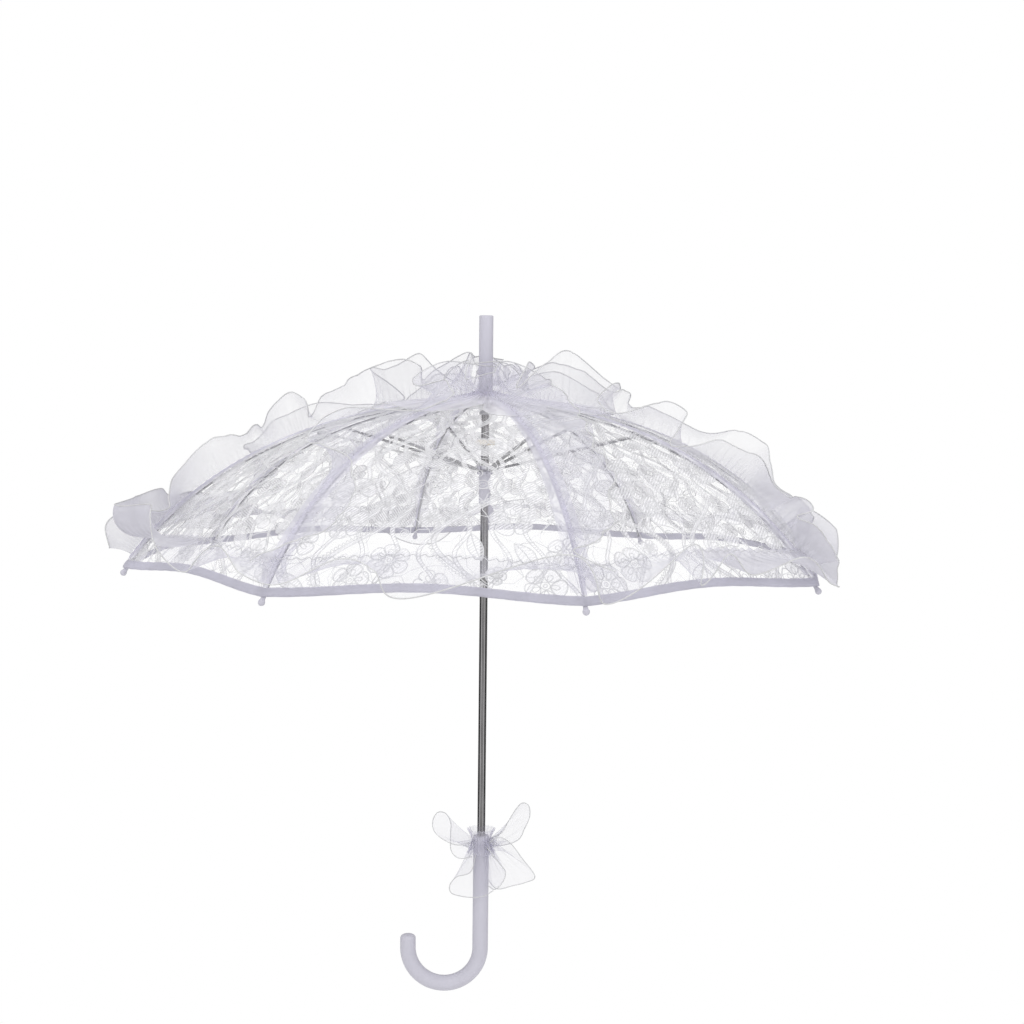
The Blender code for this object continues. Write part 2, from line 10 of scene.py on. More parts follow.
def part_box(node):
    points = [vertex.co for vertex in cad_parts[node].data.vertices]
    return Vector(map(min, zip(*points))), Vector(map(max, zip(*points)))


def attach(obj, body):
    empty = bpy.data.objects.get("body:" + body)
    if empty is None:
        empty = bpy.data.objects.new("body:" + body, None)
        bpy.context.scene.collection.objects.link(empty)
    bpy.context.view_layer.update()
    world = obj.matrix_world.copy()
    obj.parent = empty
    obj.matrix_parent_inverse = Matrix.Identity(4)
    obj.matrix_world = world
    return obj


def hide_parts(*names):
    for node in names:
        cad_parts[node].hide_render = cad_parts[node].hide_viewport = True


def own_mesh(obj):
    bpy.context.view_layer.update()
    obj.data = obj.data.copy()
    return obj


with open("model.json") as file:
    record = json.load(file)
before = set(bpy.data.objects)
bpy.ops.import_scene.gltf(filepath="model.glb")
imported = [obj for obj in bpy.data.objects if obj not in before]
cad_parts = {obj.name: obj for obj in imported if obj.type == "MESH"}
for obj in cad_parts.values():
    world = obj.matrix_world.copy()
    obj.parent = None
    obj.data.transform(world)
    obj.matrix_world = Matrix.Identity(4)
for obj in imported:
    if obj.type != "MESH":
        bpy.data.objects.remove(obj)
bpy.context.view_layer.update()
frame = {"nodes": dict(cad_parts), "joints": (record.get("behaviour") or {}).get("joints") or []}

# ---- measures shared with the model, in metres and radians ----

JOINTS = {joint["name"]: joint for joint in frame["joints"]}
RIBS = 8
PANEL_HALF = pi / RIBS
PIVOTS = [JOINTS[f"rib_{k + 1}_hinge"]["pos_m"] for k in range(RIBS)]
RIB_ANGLES = [atan2(p[1], p[0]) for p in PIVOTS]
PIVOT_RADIUS = hypot(*PIVOTS[0][:2])
PIVOT_Z = PIVOTS[0][2]
RIB_LENGTH = 0.389
RIB_SLOPE_IN = radians(4)
RIB_SLOPE_GAIN = radians(51)
RIB_SLOPE_POWER = 1.43
HEM_BOW = 0.007
CLOTH_LIFT = 0.0034
RIM_STITCH_ARC = 0.356
FERRULE_RADIUS = 0.007
GRIP_RADIUS = 0.0079
BOW_Z = 0.041


# ---- camera ----

def add_camera():
    """Eye level with the shade, looking slightly down."""
    data = bpy.data.cameras.new("camera")
    data.sensor_width = 36.0
    data.lens = 61.17
    tilt_down, turn_left = radians(4.10), radians(0.64)
    camera = bpy.data.objects.new("camera", data)
    bpy.context.scene.collection.objects.link(camera)
    camera.location = (0.0276, -1.738, 0.5031)
    aim = Matrix.Rotation(pi / 2 - tilt_down, 4, "X") @ Matrix.Rotation(turn_left, 4, "Z")
    camera.rotation_euler = aim.to_euler()
    bpy.context.scene.camera = camera


add_camera()


# ---- node helpers ----

def node(tree, kind, inputs=None, **settings):
    """Adds a shader node. An input given as a socket is linked, any other value is set."""
    made = tree.nodes.new("ShaderNode" + kind)
    for name, value in settings.items():
        setattr(made, name, value)
    for key, value in (inputs or {}).items():
        if isinstance(value, bpy.types.NodeSocket):
            tree.links.new(value, made.inputs[key])
        else:
            made.inputs[key].default_value = value
    return made


def result(tree, kind, inputs=None, **settings):
    """The first output of a new node."""
    return node(tree, kind, inputs, **settings).outputs[0]


def maths(tree, operation, a, b=None):
    inputs = {0: a}
    if b is not None:
        inputs[1] = b
    return result(tree, "Math", inputs, operation=operation)


def ramp(tree, value, stops):
    """A colour ramp. stops are (position, colour or grey)."""
    made = node(tree, "ValToRGB", {0: value})
    elements = made.color_ramp.elements
    while len(elements) < len(stops):
        elements.new(0.5)
    for element, (position, colour) in zip(elements, stops):
        element.position = position
        if not hasattr(colour, "__len__"):
            colour = (colour, colour, colour)
        element.color = (*colour, 1.0)
    return made.outputs[0]


def new_material(name):
    material = bpy.data.materials.new(name)
    material.use_nodes = True
    material.node_tree.nodes.clear()
    return material, material.node_tree


def noise(tree, scale, stretch=(1, 1, 1), detail=3.0):
    """Soft noise over the object, with its places multiplied by stretch."""
    place = node(tree, "TexCoord").outputs["Object"]
    where = result(tree, "Mapping", {"Vector": place, "Scale": stretch})
    return result(tree, "TexNoise", {"Vector": where, "Scale": scale, "Detail": detail})


def bump(tree, height, distance, strength=1.0):
    inputs = {"Height": height, "Distance": distance, "Strength": strength}
    return result(tree, "Bump", inputs)


def mottled(tree, patches, colour, share):
    """colour, which falls to a share of itself in the darker patches."""
    return ramp(tree, patches, [(0.3, [c * share for c in colour]), (0.7, colour)])


def principled(tree, inputs):
    return result(tree, "BsdfPrincipled", inputs)


def finish_material(material, shader):
    out = node(material.node_tree, "OutputMaterial")
    material.node_tree.links.new(shader, out.inputs["Surface"])
    return material


# ---- materials ----

CLOTH = (0.70, 0.69, 0.775)
RIM_GATHERS = (0.385, 0.445)
EDGE_ON = 0.16
THROUGH_LIGHT = 0.42


def weave(tree, threads):
    """A plain weave, threads per metre, from the cloth's own lengthwise and crosswise measures."""
    uv = result(tree, "UVMap")
    axes = node(tree, "SeparateXYZ", {0: uv}).outputs
    waves = []
    for axis in (axes[0], axes[1]):
        turns = maths(tree, "MULTIPLY", axis, threads * 2 * pi)
        waves.append(maths(tree, "SINE", turns))
    return maths(tree, "MULTIPLY", waves[0], waves[1])


def sheer(name, density, colour=CLOTH, threads=900, low_gain=1.0):
    """Woven see-through cloth, which looks denser where it is seen along its surface.

    low_gain is how many layers deep its gathers lie near the rim, below the heights RIM_GATHERS."""
    material, tree = new_material(name)
    pattern = weave(tree, threads)
    patches = noise(tree, 38.0)
    tint = mottled(tree, patches, colour, 0.9)
    facing = node(tree, "LayerWeight", {"Blend": 0.5}).outputs["Facing"]
    towards = maths(tree, "MAXIMUM", maths(tree, "SUBTRACT", 1.0, facing), EDGE_ON)
    place = node(tree, "TexCoord").outputs["Object"]
    height = node(tree, "SeparateXYZ", {0: place}).outputs[2]
    gain = result(tree, "MapRange", {
        "Value": height, "From Min": RIM_GATHERS[0], "From Max": RIM_GATHERS[1],
        "To Min": low_gain, "To Max": 1.0,
    })
    layers = maths(tree, "DIVIDE", gain, towards)
    clear = maths(tree, "POWER", 1.0 - density, layers)
    holes = maths(tree, "ADD", maths(tree, "MULTIPLY", pattern, 0.06), 1.0)
    inputs = {0: 1.0, 1: maths(tree, "MULTIPLY", clear, holes)}
    cover = result(tree, "Math", inputs, operation="SUBTRACT", use_clamp=True)
    rough = ramp(tree, patches, [(0.0, 0.55), (1.0, 0.8)])
    normal = bump(tree, pattern, 0.00004, 0.5)
    cloth = principled(tree, {"Base Color": tint, "Roughness": rough, "Normal": normal,
                              "Sheen Weight": 0.25, "Specular IOR Level": 0.2})
    glow = result(tree, "BsdfTranslucent", {"Color": tint, "Normal": normal})
    both = result(tree, "MixShader", {0: THROUGH_LIGHT, 1: cloth, 2: glow})
    hole = result(tree, "BsdfTransparent")
    mixed = result(tree, "MixShader", {0: cover, 1: hole, 2: both})
    return finish_material(material, mixed)


def net(name):
    """The lace's ground: a fine hexagon-like net."""
    material, tree = new_material(name)
    inputs = {"Vector": result(tree, "UVMap"), "Scale": 780.0, "Randomness": 0.35}
    cells = node(tree, "TexVoronoi", inputs, feature="DISTANCE_TO_EDGE").outputs["Distance"]
    seen = ramp(tree, cells, [(0.0, 0.24), (0.10, 0.05), (0.2, 0.01)])
    patches = noise(tree, 60.0)
    tint = ramp(tree, patches, [(0.3, (0.76, 0.75, 0.80)), (0.7, (0.82, 0.81, 0.86))])
    rough = ramp(tree, patches, [(0.0, 0.7), (1.0, 0.9)])
    return finish_material(material, principled(tree, {
        "Base Color": tint, "Roughness": rough, "Alpha": seen, "Specular IOR Level": 0.1,
        "Normal": bump(tree, seen, 0.0001, 0.6),
    }))


def thread(name, colour, cover):
    """Matte twisted thread."""
    material, tree = new_material(name)
    fibres = noise(tree, 900.0, detail=4.0)
    tint = mottled(tree, noise(tree, 45.0), colour, 0.84)
    rough = ramp(tree, fibres, [(0.2, 0.7), (0.8, 0.95)])
    seen = ramp(tree, fibres, [(0.3, cover), (0.6, min(1.0, cover * 1.15))])
    return finish_material(material, principled(tree, {
        "Base Color": tint, "Roughness": rough, "Alpha": seen, "Sheen Weight": 0.2,
        "Specular IOR Level": 0.15, "Normal": bump(tree, fibres, 0.0002, 0.5),
    }))


def hatched(name, cover):
    """Petals and leaves worked in close diagonal stitches."""
    material, tree = new_material(name)
    inputs = {"Vector": result(tree, "UVMap"), "Scale": 170.0, "Distortion": 1.6,
              "Detail": 1.0}
    lines = node(tree, "TexWave", inputs, wave_type="BANDS",
                 bands_direction="DIAGONAL").outputs[1]
    seen = ramp(tree, lines, [(0.35, cover * 0.6), (0.65, cover)])
    tint = ramp(tree, lines, [(0.2, (0.74, 0.735, 0.76)), (0.8, (0.84, 0.835, 0.86))])
    rough = ramp(tree, lines, [(0.0, 0.9), (1.0, 0.7)])
    return finish_material(material, principled(tree, {
        "Base Color": tint, "Roughness": rough, "Alpha": seen, "Specular IOR Level": 0.15,
        "Normal": bump(tree, lines, 0.0002, 0.6),
    }))


def plastic(name, colour, rough=(0.32, 0.5), see_through=0.0):
    """Moulded plastic with faint mottling and fine scuffs."""
    material, tree = new_material(name)
    scuffs = noise(tree, 420.0, (1, 1, 0.12), 5.0)
    tint = mottled(tree, noise(tree, 60.0, (1, 1, 0.25)), colour, 0.95)
    gloss = ramp(tree, scuffs, [(0.3, rough[0]), (0.7, rough[1])])
    return finish_material(material, principled(tree, {
        "Base Color": tint, "Roughness": gloss, "Transmission Weight": see_through,
        "Specular IOR Level": 0.4, "Normal": bump(tree, scuffs, 0.00008, 0.25),
    }))


def steel(name, colour, stretch, rough):
    """Drawn steel: fine lines along the tube or wire, with duller patches."""
    material, tree = new_material(name)
    lines = noise(tree, 900.0, stretch, 4.0)
    tint = mottled(tree, noise(tree, 90.0, (1, 1, 0.3)), colour, 0.75)
    gloss = ramp(tree, lines, [(0.3, rough[0]), (0.7, rough[1])])
    return finish_material(material, principled(tree, {
        "Base Color": tint, "Roughness": gloss, "Metallic": 1.0,
        "Normal": bump(tree, lines, 0.00005, 0.35),
    }))


ORGANZA = sheer("organza", 0.17)
SIDE_ORGANZA = sheer("side_organza", 0.155, (0.70, 0.69, 0.755), low_gain=3.6)
RIM_ORGANZA = sheer("rim_organza", 0.13)
CROWN_ORGANZA = sheer("crown_organza", 0.15, (0.88, 0.865, 0.94))
BAND_ORGANZA = sheer("band_organza", 0.26, (0.78, 0.765, 0.86))
TAPE = sheer("seam_tape", 0.62, (0.76, 0.745, 0.84), threads=700)
SATIN = sheer("satin", 0.86, (0.66, 0.65, 0.73), threads=500)
ROSETTE_CLOTH = sheer("rosette_cloth", 0.93, (0.70, 0.68, 0.80), threads=1100)
NET = net("lace_net")
THREAD = thread("lace_thread", (0.68, 0.68, 0.70), 0.76)
FINE_THREAD = thread("fine_thread", (0.76, 0.76, 0.78), 0.60)
EDGE_CORD = thread("edge_cord", (0.66, 0.66, 0.67), 0.85)
FILL = hatched("lace_fill", 0.70)
WHITE_PLASTIC = plastic("white_plastic", (0.53, 0.52, 0.588))
CLEAR_PLASTIC = plastic("clear_plastic", (0.62, 0.62, 0.64), (0.25, 0.4), 0.35)
BEIGE_PLASTIC = plastic("beige_plastic", (0.60, 0.50, 0.34), (0.4, 0.6))
SHAFT_STEEL = steel("shaft_steel", (0.52, 0.51, 0.515), (1, 1, 0.02), (0.10, 0.18))
WIRE_STEEL = steel("wire_steel", (0.55, 0.55, 0.57), (1, 1, 1), (0.12, 0.22))
CHANNEL_STEEL = steel("channel_steel", (0.95, 0.95, 0.96), (1, 1, 1), (0.10, 0.18))


# ---- meshes ----

def mesh_object(name, points, faces, material, uv=None, smooth=True):
    mesh = bpy.data.meshes.new(name)
    mesh.from_pydata([tuple(p) for p in points], [], faces)
    if uv is not None:
        layer = mesh.uv_layers.new(name="UVMap")
        corners = np.zeros(len(mesh.loops), dtype=np.int32)
        mesh.loops.foreach_get("vertex_index", corners)
        layer.data.foreach_set("uv", np.asarray(uv, dtype=np.float32)[corners].ravel())
    if smooth:
        mesh.shade_smooth()
    mesh.materials.append(material)
    obj = bpy.data.objects.new(name, mesh)
    bpy.context.scene.collection.objects.link(obj)
    return obj


def grid_faces(rows, columns, closed=False):
    """Faces between the points of a grid. closed joins the last column to the first."""
    faces = []
    for r in range(rows - 1):
        low, high = r * columns, (r + 1) * columns
        for c in range(columns if closed else columns - 1):
            d = (c + 1) % columns
            faces.append((low + c, low + d, high + d, high + c))
    return faces


def grid_object(name, points, material, uv, closed=False):
    """A sheet from points[row][column]."""
    faces = grid_faces(*points.shape[:2], closed)
    return mesh_object(name, points.reshape(-1, 3), faces, material, uv.reshape(-1, 2))


def joined(*parts):
    """Points from their measures, each given as a grid, a row, a column or one number."""
    return np.stack(np.broadcast_arrays(*parts), axis=-1)


def full_turn(count):
    return np.linspace(0, 2 * pi, count, endpoint=False)


def column(start, stop, count):
    return np.linspace(start, stop, count)[:, None]


def row(start, stop, count):
    return np.linspace(start, stop, count)[None, :]


def about_axis(radius, turn, height):
    """Points at a radius and a turn about the shaft's axis."""
    return joined(radius * np.cos(turn), radius * np.sin(turn), height)


def tubes_object(name, lines, radius, sides, material, closed=False):
    """Round cords along lines of points, as one mesh."""
    points, faces, uv = [], [], []
    for line in lines:
        line = np.asarray(line, float)
        count = len(line)
        if closed:
            ahead, behind = np.roll(line, -1, 0), np.roll(line, 1, 0)
        else:
            ahead, behind = np.vstack([line[1:], line[-1:]]), np.vstack([line[:1], line[:-1]])
        along = ahead - behind
        along /= np.maximum(np.linalg.norm(along, axis=1), 1e-12)[:, None]
        side = np.cross(along[0], (0.31, 0.17, 0.93))
        start = len(points)
        length = 0.0
        for i in range(count):
            side = side - along[i] * side.dot(along[i])
            side /= np.linalg.norm(side)
            other = np.cross(along[i], side)
            length += np.linalg.norm(line[i] - line[i - 1]) if i else 0.0
            for s in range(sides):
                turn = 2 * pi * s / sides
                points.append(line[i] + radius * (cos(turn) * side + sin(turn) * other))
                uv.append((length, radius * turn))
        for i in range(count if closed else count - 1):
            j = (i + 1) % count
            for s in range(sides):
                t = (s + 1) % sides
                faces.append((start + i * sides + s, start + j * sides + s,
                              start + j * sides + t, start + i * sides + t))
        if not closed:
            faces.append(tuple(start + s for s in range(sides)))
            faces.append(tuple(start + (count - 1) * sides + s for s in reversed(range(sides))))
    return mesh_object(name, points, faces, material, uv)


# ---- the shade's curve ----

ARCS = np.linspace(-0.02, 0.44, 4601)
SLOPES = RIB_SLOPE_IN + RIB_SLOPE_GAIN * np.clip(ARCS / RIB_LENGTH, 0, 1) ** RIB_SLOPE_POWER
STEP = ARCS[1] - ARCS[0]
OUTS = np.concatenate([[0], np.cumsum(np.cos((SLOPES[1:] + SLOPES[:-1]) / 2)) * STEP])
DROPS = np.concatenate([[0], np.cumsum(np.sin((SLOPES[1:] + SLOPES[:-1]) / 2)) * STEP])
OUTS -= np.interp(0, ARCS, OUTS)
DROPS -= np.interp(0, ARCS, DROPS)


def rib_curve(arc, lift=0.0):
    """(radius from the axis, height) on the normal of a rib's centre line, lift above it."""
    slope = np.interp(arc, ARCS, SLOPES)
    radius = PIVOT_RADIUS + np.interp(arc, ARCS, OUTS) + lift * np.sin(slope)
    return radius, PIVOT_Z - np.interp(arc, ARCS, DROPS) + lift * np.cos(slope)


def in_row_frame(k, x, y, z):
    """Points given outwards, sideways and up for rib k."""
    a = RIB_ANGLES[k]
    return joined(x * cos(a) - y * sin(a), x * sin(a) + y * cos(a), z)


def canopy(k, arc, side, lift=CLOTH_LIFT):
    """Points of rib k's share of the lace. side runs from -1 to 1 between the mid-panel lines."""
    radius, height = rib_curve(arc, lift)
    across = radius * sin(PANEL_HALF) * np.abs(side)
    bow = HEM_BOW * (arc / RIB_LENGTH) ** 2 * np.sin(pi / 2 * np.abs(side)) ** 2
    outwards = radius - across * sin(PANEL_HALF)
    return in_row_frame(k, outwards, across * cos(PANEL_HALF) * np.sign(side), height + bow)


def panel_half_width(arc):
    """Half a panel's width between its two ribs."""
    return rib_curve(arc, CLOTH_LIFT)[0] * sin(PANEL_HALF)


def on_rib(obj, k):
    """obj rides on rib k, with its own copy of its mesh."""
    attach(obj, f"rib_{k + 1}")
    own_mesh(obj)
    return obj


def on_body(obj, body, slot, *nodes):
    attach(obj, body)
    if nodes:
        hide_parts(*nodes)
    return obj


# ---- lace: threads and fillings drawn flat in each panel ----

HEM_ARC = RIB_LENGTH + 0.0045
LACE_TOP, LACE_BOTTOM = 0.012, HEM_ARC - 0.0045
SEAM_MARGIN = 0.0006
THICK, MEDIUM, SLIM, THIN, FINEST = 0.0012, 0.0010, 0.0009, 0.0008, 0.0006


def normals_of(line):
    """The direction across a flat line at each of its points."""
    along = np.gradient(line, axis=0)
    along /= np.maximum(np.hypot(along[:, 0], along[:, 1]), 1e-9)[:, None]
    return joined(-along[:, 1], along[:, 0])


class PanelLace:
    """One panel's lace, as strokes and patches in (across, arc) metres."""

    def __init__(self, seed):
        self.random = random.Random(seed)
        self.strokes = []
        self.patches = []
        self.taken = []

    def stroke(self, points, width, kind="outline"):
        """kind is outline for a raised thread, bars for a flat one, filling for a worked tape."""
        self.strokes.append((np.asarray(points, float), width, kind))

    def ring(self, centre, radius, width, count=14, fill=False):
        turns = np.linspace(0, 2 * pi, count + 1)
        reach = radius * (1 + 0.08 * np.sin(2 * turns + self.random.uniform(0, 6)))
        points = joined(centre[0] + reach * np.cos(turns), centre[1] + reach * np.sin(turns))
        self.stroke(points, width)
        if fill:
            self.patches.append(points[:-1])

    def petal(self, base, turn, length, width, line, fill=True):
        """A drop-shaped outline from its base."""
        t = np.linspace(0, 2 * pi, 25)
        x = length * (1 - np.cos(t)) / 2
        y = width / 2 * np.sin(t) * (0.55 + 0.45 * (1 - np.cos(t)) / 2)
        c, s = cos(turn), sin(turn)
        points = joined(base[0] + x * c - y * s, base[1] + x * s + y * c)
        self.stroke(points, line)
        if fill:
            self.patches.append(points[:-1])

    def flower(self, centre, radius, petals):
        """Double-outlined petals round a ringed eye."""
        turn = self.random.uniform(0, 2 * pi)
        inner = 0.26 * radius
        for i in range(petals):
            angle = turn + 2 * pi * i / petals
            base = (centre[0] + inner * cos(angle), centre[1] + inner * sin(angle))
            size = radius * self.random.uniform(0.68, 0.8)
            self.petal(base, angle, size, 2 * radius * 0.62 * sin(pi / petals) * 1.5, THICK)
            self.petal(base, angle, size * 0.55, radius * 0.3, THIN, False)
        self.ring(centre, inner * 0.85, MEDIUM)
        self.ring(centre, inner * 0.4, THIN, 8, True)

    def leaf(self, centre, radius, turn):
        """A curved leaf with a mid-rib and side veins."""
        length, width = 2 * radius, radius * 0.85
        t = np.linspace(0, 1, 14)
        curve = self.random.uniform(-0.25, 0.25)
        mid_x, mid_y = length * (t - 0.5), curve * length * (t - 0.5) ** 2
        half = width / 2 * np.sin(pi * t) ** 0.8
        c, s = cos(turn), sin(turn)

        def place(x, y):
            x, y = np.array(x), np.array(y)
            return joined(centre[0] + x * c - y * s, centre[1] + x * s + y * c)

        outline = np.vstack([place(mid_x, mid_y + half), place(mid_x, mid_y - half)[::-1][1:]])
        self.stroke(outline, THICK)
        self.patches.append(outline[:-1])
        self.stroke(place(mid_x, mid_y), SLIM)
        for share in np.linspace(0.16, 0.84, 6):
            vein_x = length * (share - 0.5), length * (share - 0.40)
            root_y = curve * length * (share - 0.5) ** 2
            rise = width / 2 * sin(pi * min(share + 0.1, 1)) ** 0.8 * 0.95
            for tip_y in (root_y + rise, root_y - rise):
                self.stroke(place(vein_x, (root_y, tip_y)), FINEST, "bars")

    def scallops(self, spine, half, loop):
        """A narrow tape along spine, edged with small loops on one side."""
        steps = np.diff(spine, axis=0)
        lengths = np.concatenate([[0], np.cumsum(np.hypot(steps[:, 0], steps[:, 1]))])
        step = 0.0012
        count = int(lengths[-1] / step)
        at = np.linspace(0, lengths[-1], count)
        line = joined(np.interp(at, lengths, spine[:, 0]), np.interp(at, lengths, spine[:, 1]))
        normal = normals_of(line)
        left, right = line + normal * half, line - normal * half
        self.stroke(left, MEDIUM)
        self.stroke(right, MEDIUM)
        bumps = half + 2 * loop * np.abs(np.sin(pi * at / (2.2 * loop)))
        self.stroke(line + normal * bumps[:, None], MEDIUM)
        bars = np.where(np.arange(count) // 2 % 2 == 0, half, -half)
        self.stroke((line + normal * bars[:, None])[::2], FINEST, "bars")
        for i in range(0, count - 6, 6):
            piece = slice(i, i + 7)
            self.patches.append(np.vstack([left[piece], right[piece][::-1]]))
        for i in range(0, count, 9):
            self.taken.append((*line[i], half + 2 * loop))

    def spot(self, radius, margin):
        """A random place in the panel, a share margin of radius from the ribs."""
        while True:
            arc = LACE_TOP + (LACE_BOTTOM - LACE_TOP) * sqrt(self.random.random())
            half = float(panel_half_width(arc))
            across = self.random.uniform(-half, half)
            if abs(across) < half - margin * radius:
                return across, arc

    def scatter(self, tries, low, high, gap, make):
        """Motifs of radius low to high, at random places clear of the ones already there."""
        for _ in range(tries):
            radius = self.random.uniform(low, high)
            x, y = self.spot(radius, 0.35)
            if all(hypot(x - a, y - b) > (radius + r) * gap for a, b, r in self.taken):
                self.taken.append((x, y, radius))
                make((x, y), radius)

    def bubbles(self, centre, radius):
        self.ring(centre, radius, MEDIUM)
        self.ring(centre, radius * 0.5, THIN, 8, self.random.random() < 0.5)

    def ground(self, spacing):
        """Thin bars that join the motifs."""
        dots, tries = [], 2600
        for _ in range(tries):
            x, y = self.spot(0, 0)
            clear = all(hypot(x - a, y - b) > r * 0.8 for a, b, r in self.taken)
            if clear and all(hypot(x - a, y - b) > spacing for a, b in dots):
                dots.append((x, y))
        cloud = np.array(dots)
        for i, spot in enumerate(cloud):
            apart = np.hypot(*(cloud - spot).T)
            for j in np.argsort(apart)[1:4]:
                if apart[j] < 1.9 * spacing and (i < j or apart[j] > 1.3 * spacing):
                    middle = (spot + cloud[j]) / 2
                    bend = (cloud[j] - spot)[::-1] * (1, -1) * self.random.uniform(-0.3, 0.3)
                    self.stroke([spot, middle + bend * 0.8, cloud[j]], SLIM, "bars")

    def lanes(self, places, begin, wave):
        """Soft wavy tapes side by side, which part and meet to leave long ovals between them."""
        arcs = np.linspace(begin, LACE_BOTTOM, 150)
        tape = 0.0034
        for i, place in enumerate(places):
            sway = (0.055 * np.sin(2 * pi * (arcs / wave + i / 2))
                    + 0.02 * np.sin(2 * pi * arcs / 0.11 + 2.3 * i))
            spine = joined((place + sway) * panel_half_width(arcs), arcs)
            self.stroke(spine, tape, "filling")
            self.stroke(spine + (tape / 2, 0), SLIM)
            self.stroke(spine - (tape / 2, 0), SLIM)

    def draw(self):
        """The whole pattern, from the long tapes down to the ground."""
        for start in (-0.45, 0.30):
            arcs = np.linspace(0.03, LACE_BOTTOM, 160)
            turn = self.random.uniform(0, 2 * pi)
            sway = 0.27 * np.sin(2 * pi * arcs / 0.15 + turn)
            spine = joined((start + sway) * panel_half_width(arcs), arcs)
            self.scallops(spine, 0.0019, 0.0017)
        draw = self.random
        self.lanes((-0.72, -0.24, 0.24, 0.72), 0.07, 0.062)
        self.lanes((-0.92, -0.48, 0.0, 0.48, 0.92), 0.20, 0.062)
        self.scatter(150, 0.015, 0.021, 0.96, lambda c, r: self.flower(c, r, draw.choice((5, 6))))
        self.scatter(160, 0.012, 0.016, 0.98,
                     lambda c, r: self.leaf(c, r * 1.15, draw.uniform(0, pi)))
        self.scatter(150, 0.008, 0.011, 1.05, lambda c, r: self.flower(c, r, 5))
        self.scatter(160, 0.0038, 0.0064, 1.25, self.bubbles)
        self.ground(0.0165)


def panel_to_gores(panel, across, arc):
    """For flat points of a panel: the gore each belongs to, and its side value there."""
    share = across / panel_half_width(arc)
    left = share < 0
    gore = np.where(left, panel, (panel + 1) % RIBS)
    return gore, np.where(left, 1 + share, share - 1)


def place_lace(panel, flat, lift):
    """Flat points of a panel, on the shade."""
    gore, side = panel_to_gores(panel, flat[:, 0], flat[:, 1])
    placed = np.zeros((len(flat), 3))
    for k in (panel, (panel + 1) % RIBS):
        mine = gore == k
        if mine.any():
            placed[mine] = canopy(k, flat[mine, 1], side[mine], lift)
    return gore, placed


class LaceMesh:
    """Collects one gore's share of strokes or patches."""

    def __init__(self):
        self.points, self.faces, self.uv = [], [], []

    def add(self, points, faces, uv):
        start = len(self.points)
        self.points.extend(points)
        self.uv.extend(uv)
        self.faces.extend([tuple(start + i for i in face) for face in faces])


def inside_panel(flat):
    across, arc = flat.T
    room = panel_half_width(arc) - SEAM_MARGIN
    return (np.abs(across) < room) & (arc > LACE_TOP) & (arc < LACE_BOTTOM)


def finely(points, step):
    """The same line with points at most step apart."""
    gaps = np.hypot(*np.diff(points, axis=0).T)
    pieces = []
    for i, gap in enumerate(gaps):
        count = max(1, ceil(gap / step))
        shares = np.arange(count)[:, None] / count
        pieces.append(points[i] + (points[i + 1] - points[i]) * shares)
    return np.vstack(pieces + [points[-1:]])


def lay_stroke(panel, meshes, points, width, raised):
    """One thread or tape as a narrow strip, raised in the middle for a thick thread."""
    line = finely(points, 0.0025)
    offset = normals_of(line) * width / 2
    owner, _ = panel_to_gores(panel, line[:, 0], line[:, 1])
    good = inside_panel(line)
    edges = [(-1, 0.0002), (0, 0.0005), (1, 0.0002)] if raised else [(-1, 0.0003), (1, 0.0003)]
    sides = [place_lace(panel, line + shift * offset, CLOTH_LIFT + lift)[1]
             for shift, lift in edges]
    across = len(edges)
    start = 0
    while start < len(line) - 1:
        end = start
        while end < len(line) - 1 and good[end:end + 2].all() and owner[end] == owner[end + 1]:
            end += 1
        if end > start:
            rows = range(start, end + 1)
            placed = [sides[c][r] for r in rows for c in range(across)]
            uv = [line[r] + edges[c][0] * offset[r] for r in rows for c in range(across)]
            meshes[owner[start]].add(placed, grid_faces(len(rows), across), uv)
            start = end
        else:
            start += 1


def lay_patch(panel, meshes, outline):
    """A filled petal, as a fan from its middle."""
    middle = outline.mean(axis=0)
    fan = np.vstack([middle[None], outline])
    if not inside_panel(fan).all():
        return
    owner, placed = place_lace(panel, fan, CLOTH_LIFT + 0.0001)
    if len(set(owner)) > 1:
        return
    count = len(outline)
    faces = [(0, 1 + i, 1 + (i + 1) % count) for i in range(count)]
    meshes[owner[0]].add(placed, faces, fan)


def make_lace():
    """Threads and fillings for all eight gores: {gore: [objects]}."""
    kinds = {"outline": THREAD, "bars": FINE_THREAD, "filling": FILL}
    meshes = {kind: [LaceMesh() for _ in range(RIBS)] for kind in kinds}
    for panel in range(RIBS):
        lace = PanelLace(seed=40 + panel)
        lace.draw()
        for points, width, kind in lace.strokes:
            lay_stroke(panel, meshes[kind], points, width, kind == "outline")
        for outline in lace.patches:
            lay_patch(panel, meshes["filling"], outline)
    made = {}
    for k in range(RIBS):
        made[k] = []
        for kind, material in kinds.items():
            mesh = meshes[kind][k]
            obj = mesh_object(f"lace_{kind}_{k + 1}", mesh.points, mesh.faces, material, mesh.uv)
            made[k].append(on_rib(obj, k))
    return made


def make_gore(k):
    """The net of rib k's share of the shade."""
    arcs, sides = column(0.0045, HEM_ARC, 76), row(-1, 1, 41)
    pucker = 0.0004 * np.sin(90 * arcs + 3 * sides) * np.abs(sides)
    points = canopy(k, arcs, sides, CLOTH_LIFT + pucker)
    uv = joined(sides * panel_half_width(arcs), arcs)
    return on_rib(grid_object(f"net_gore_{k + 1}", points, NET, uv), k)


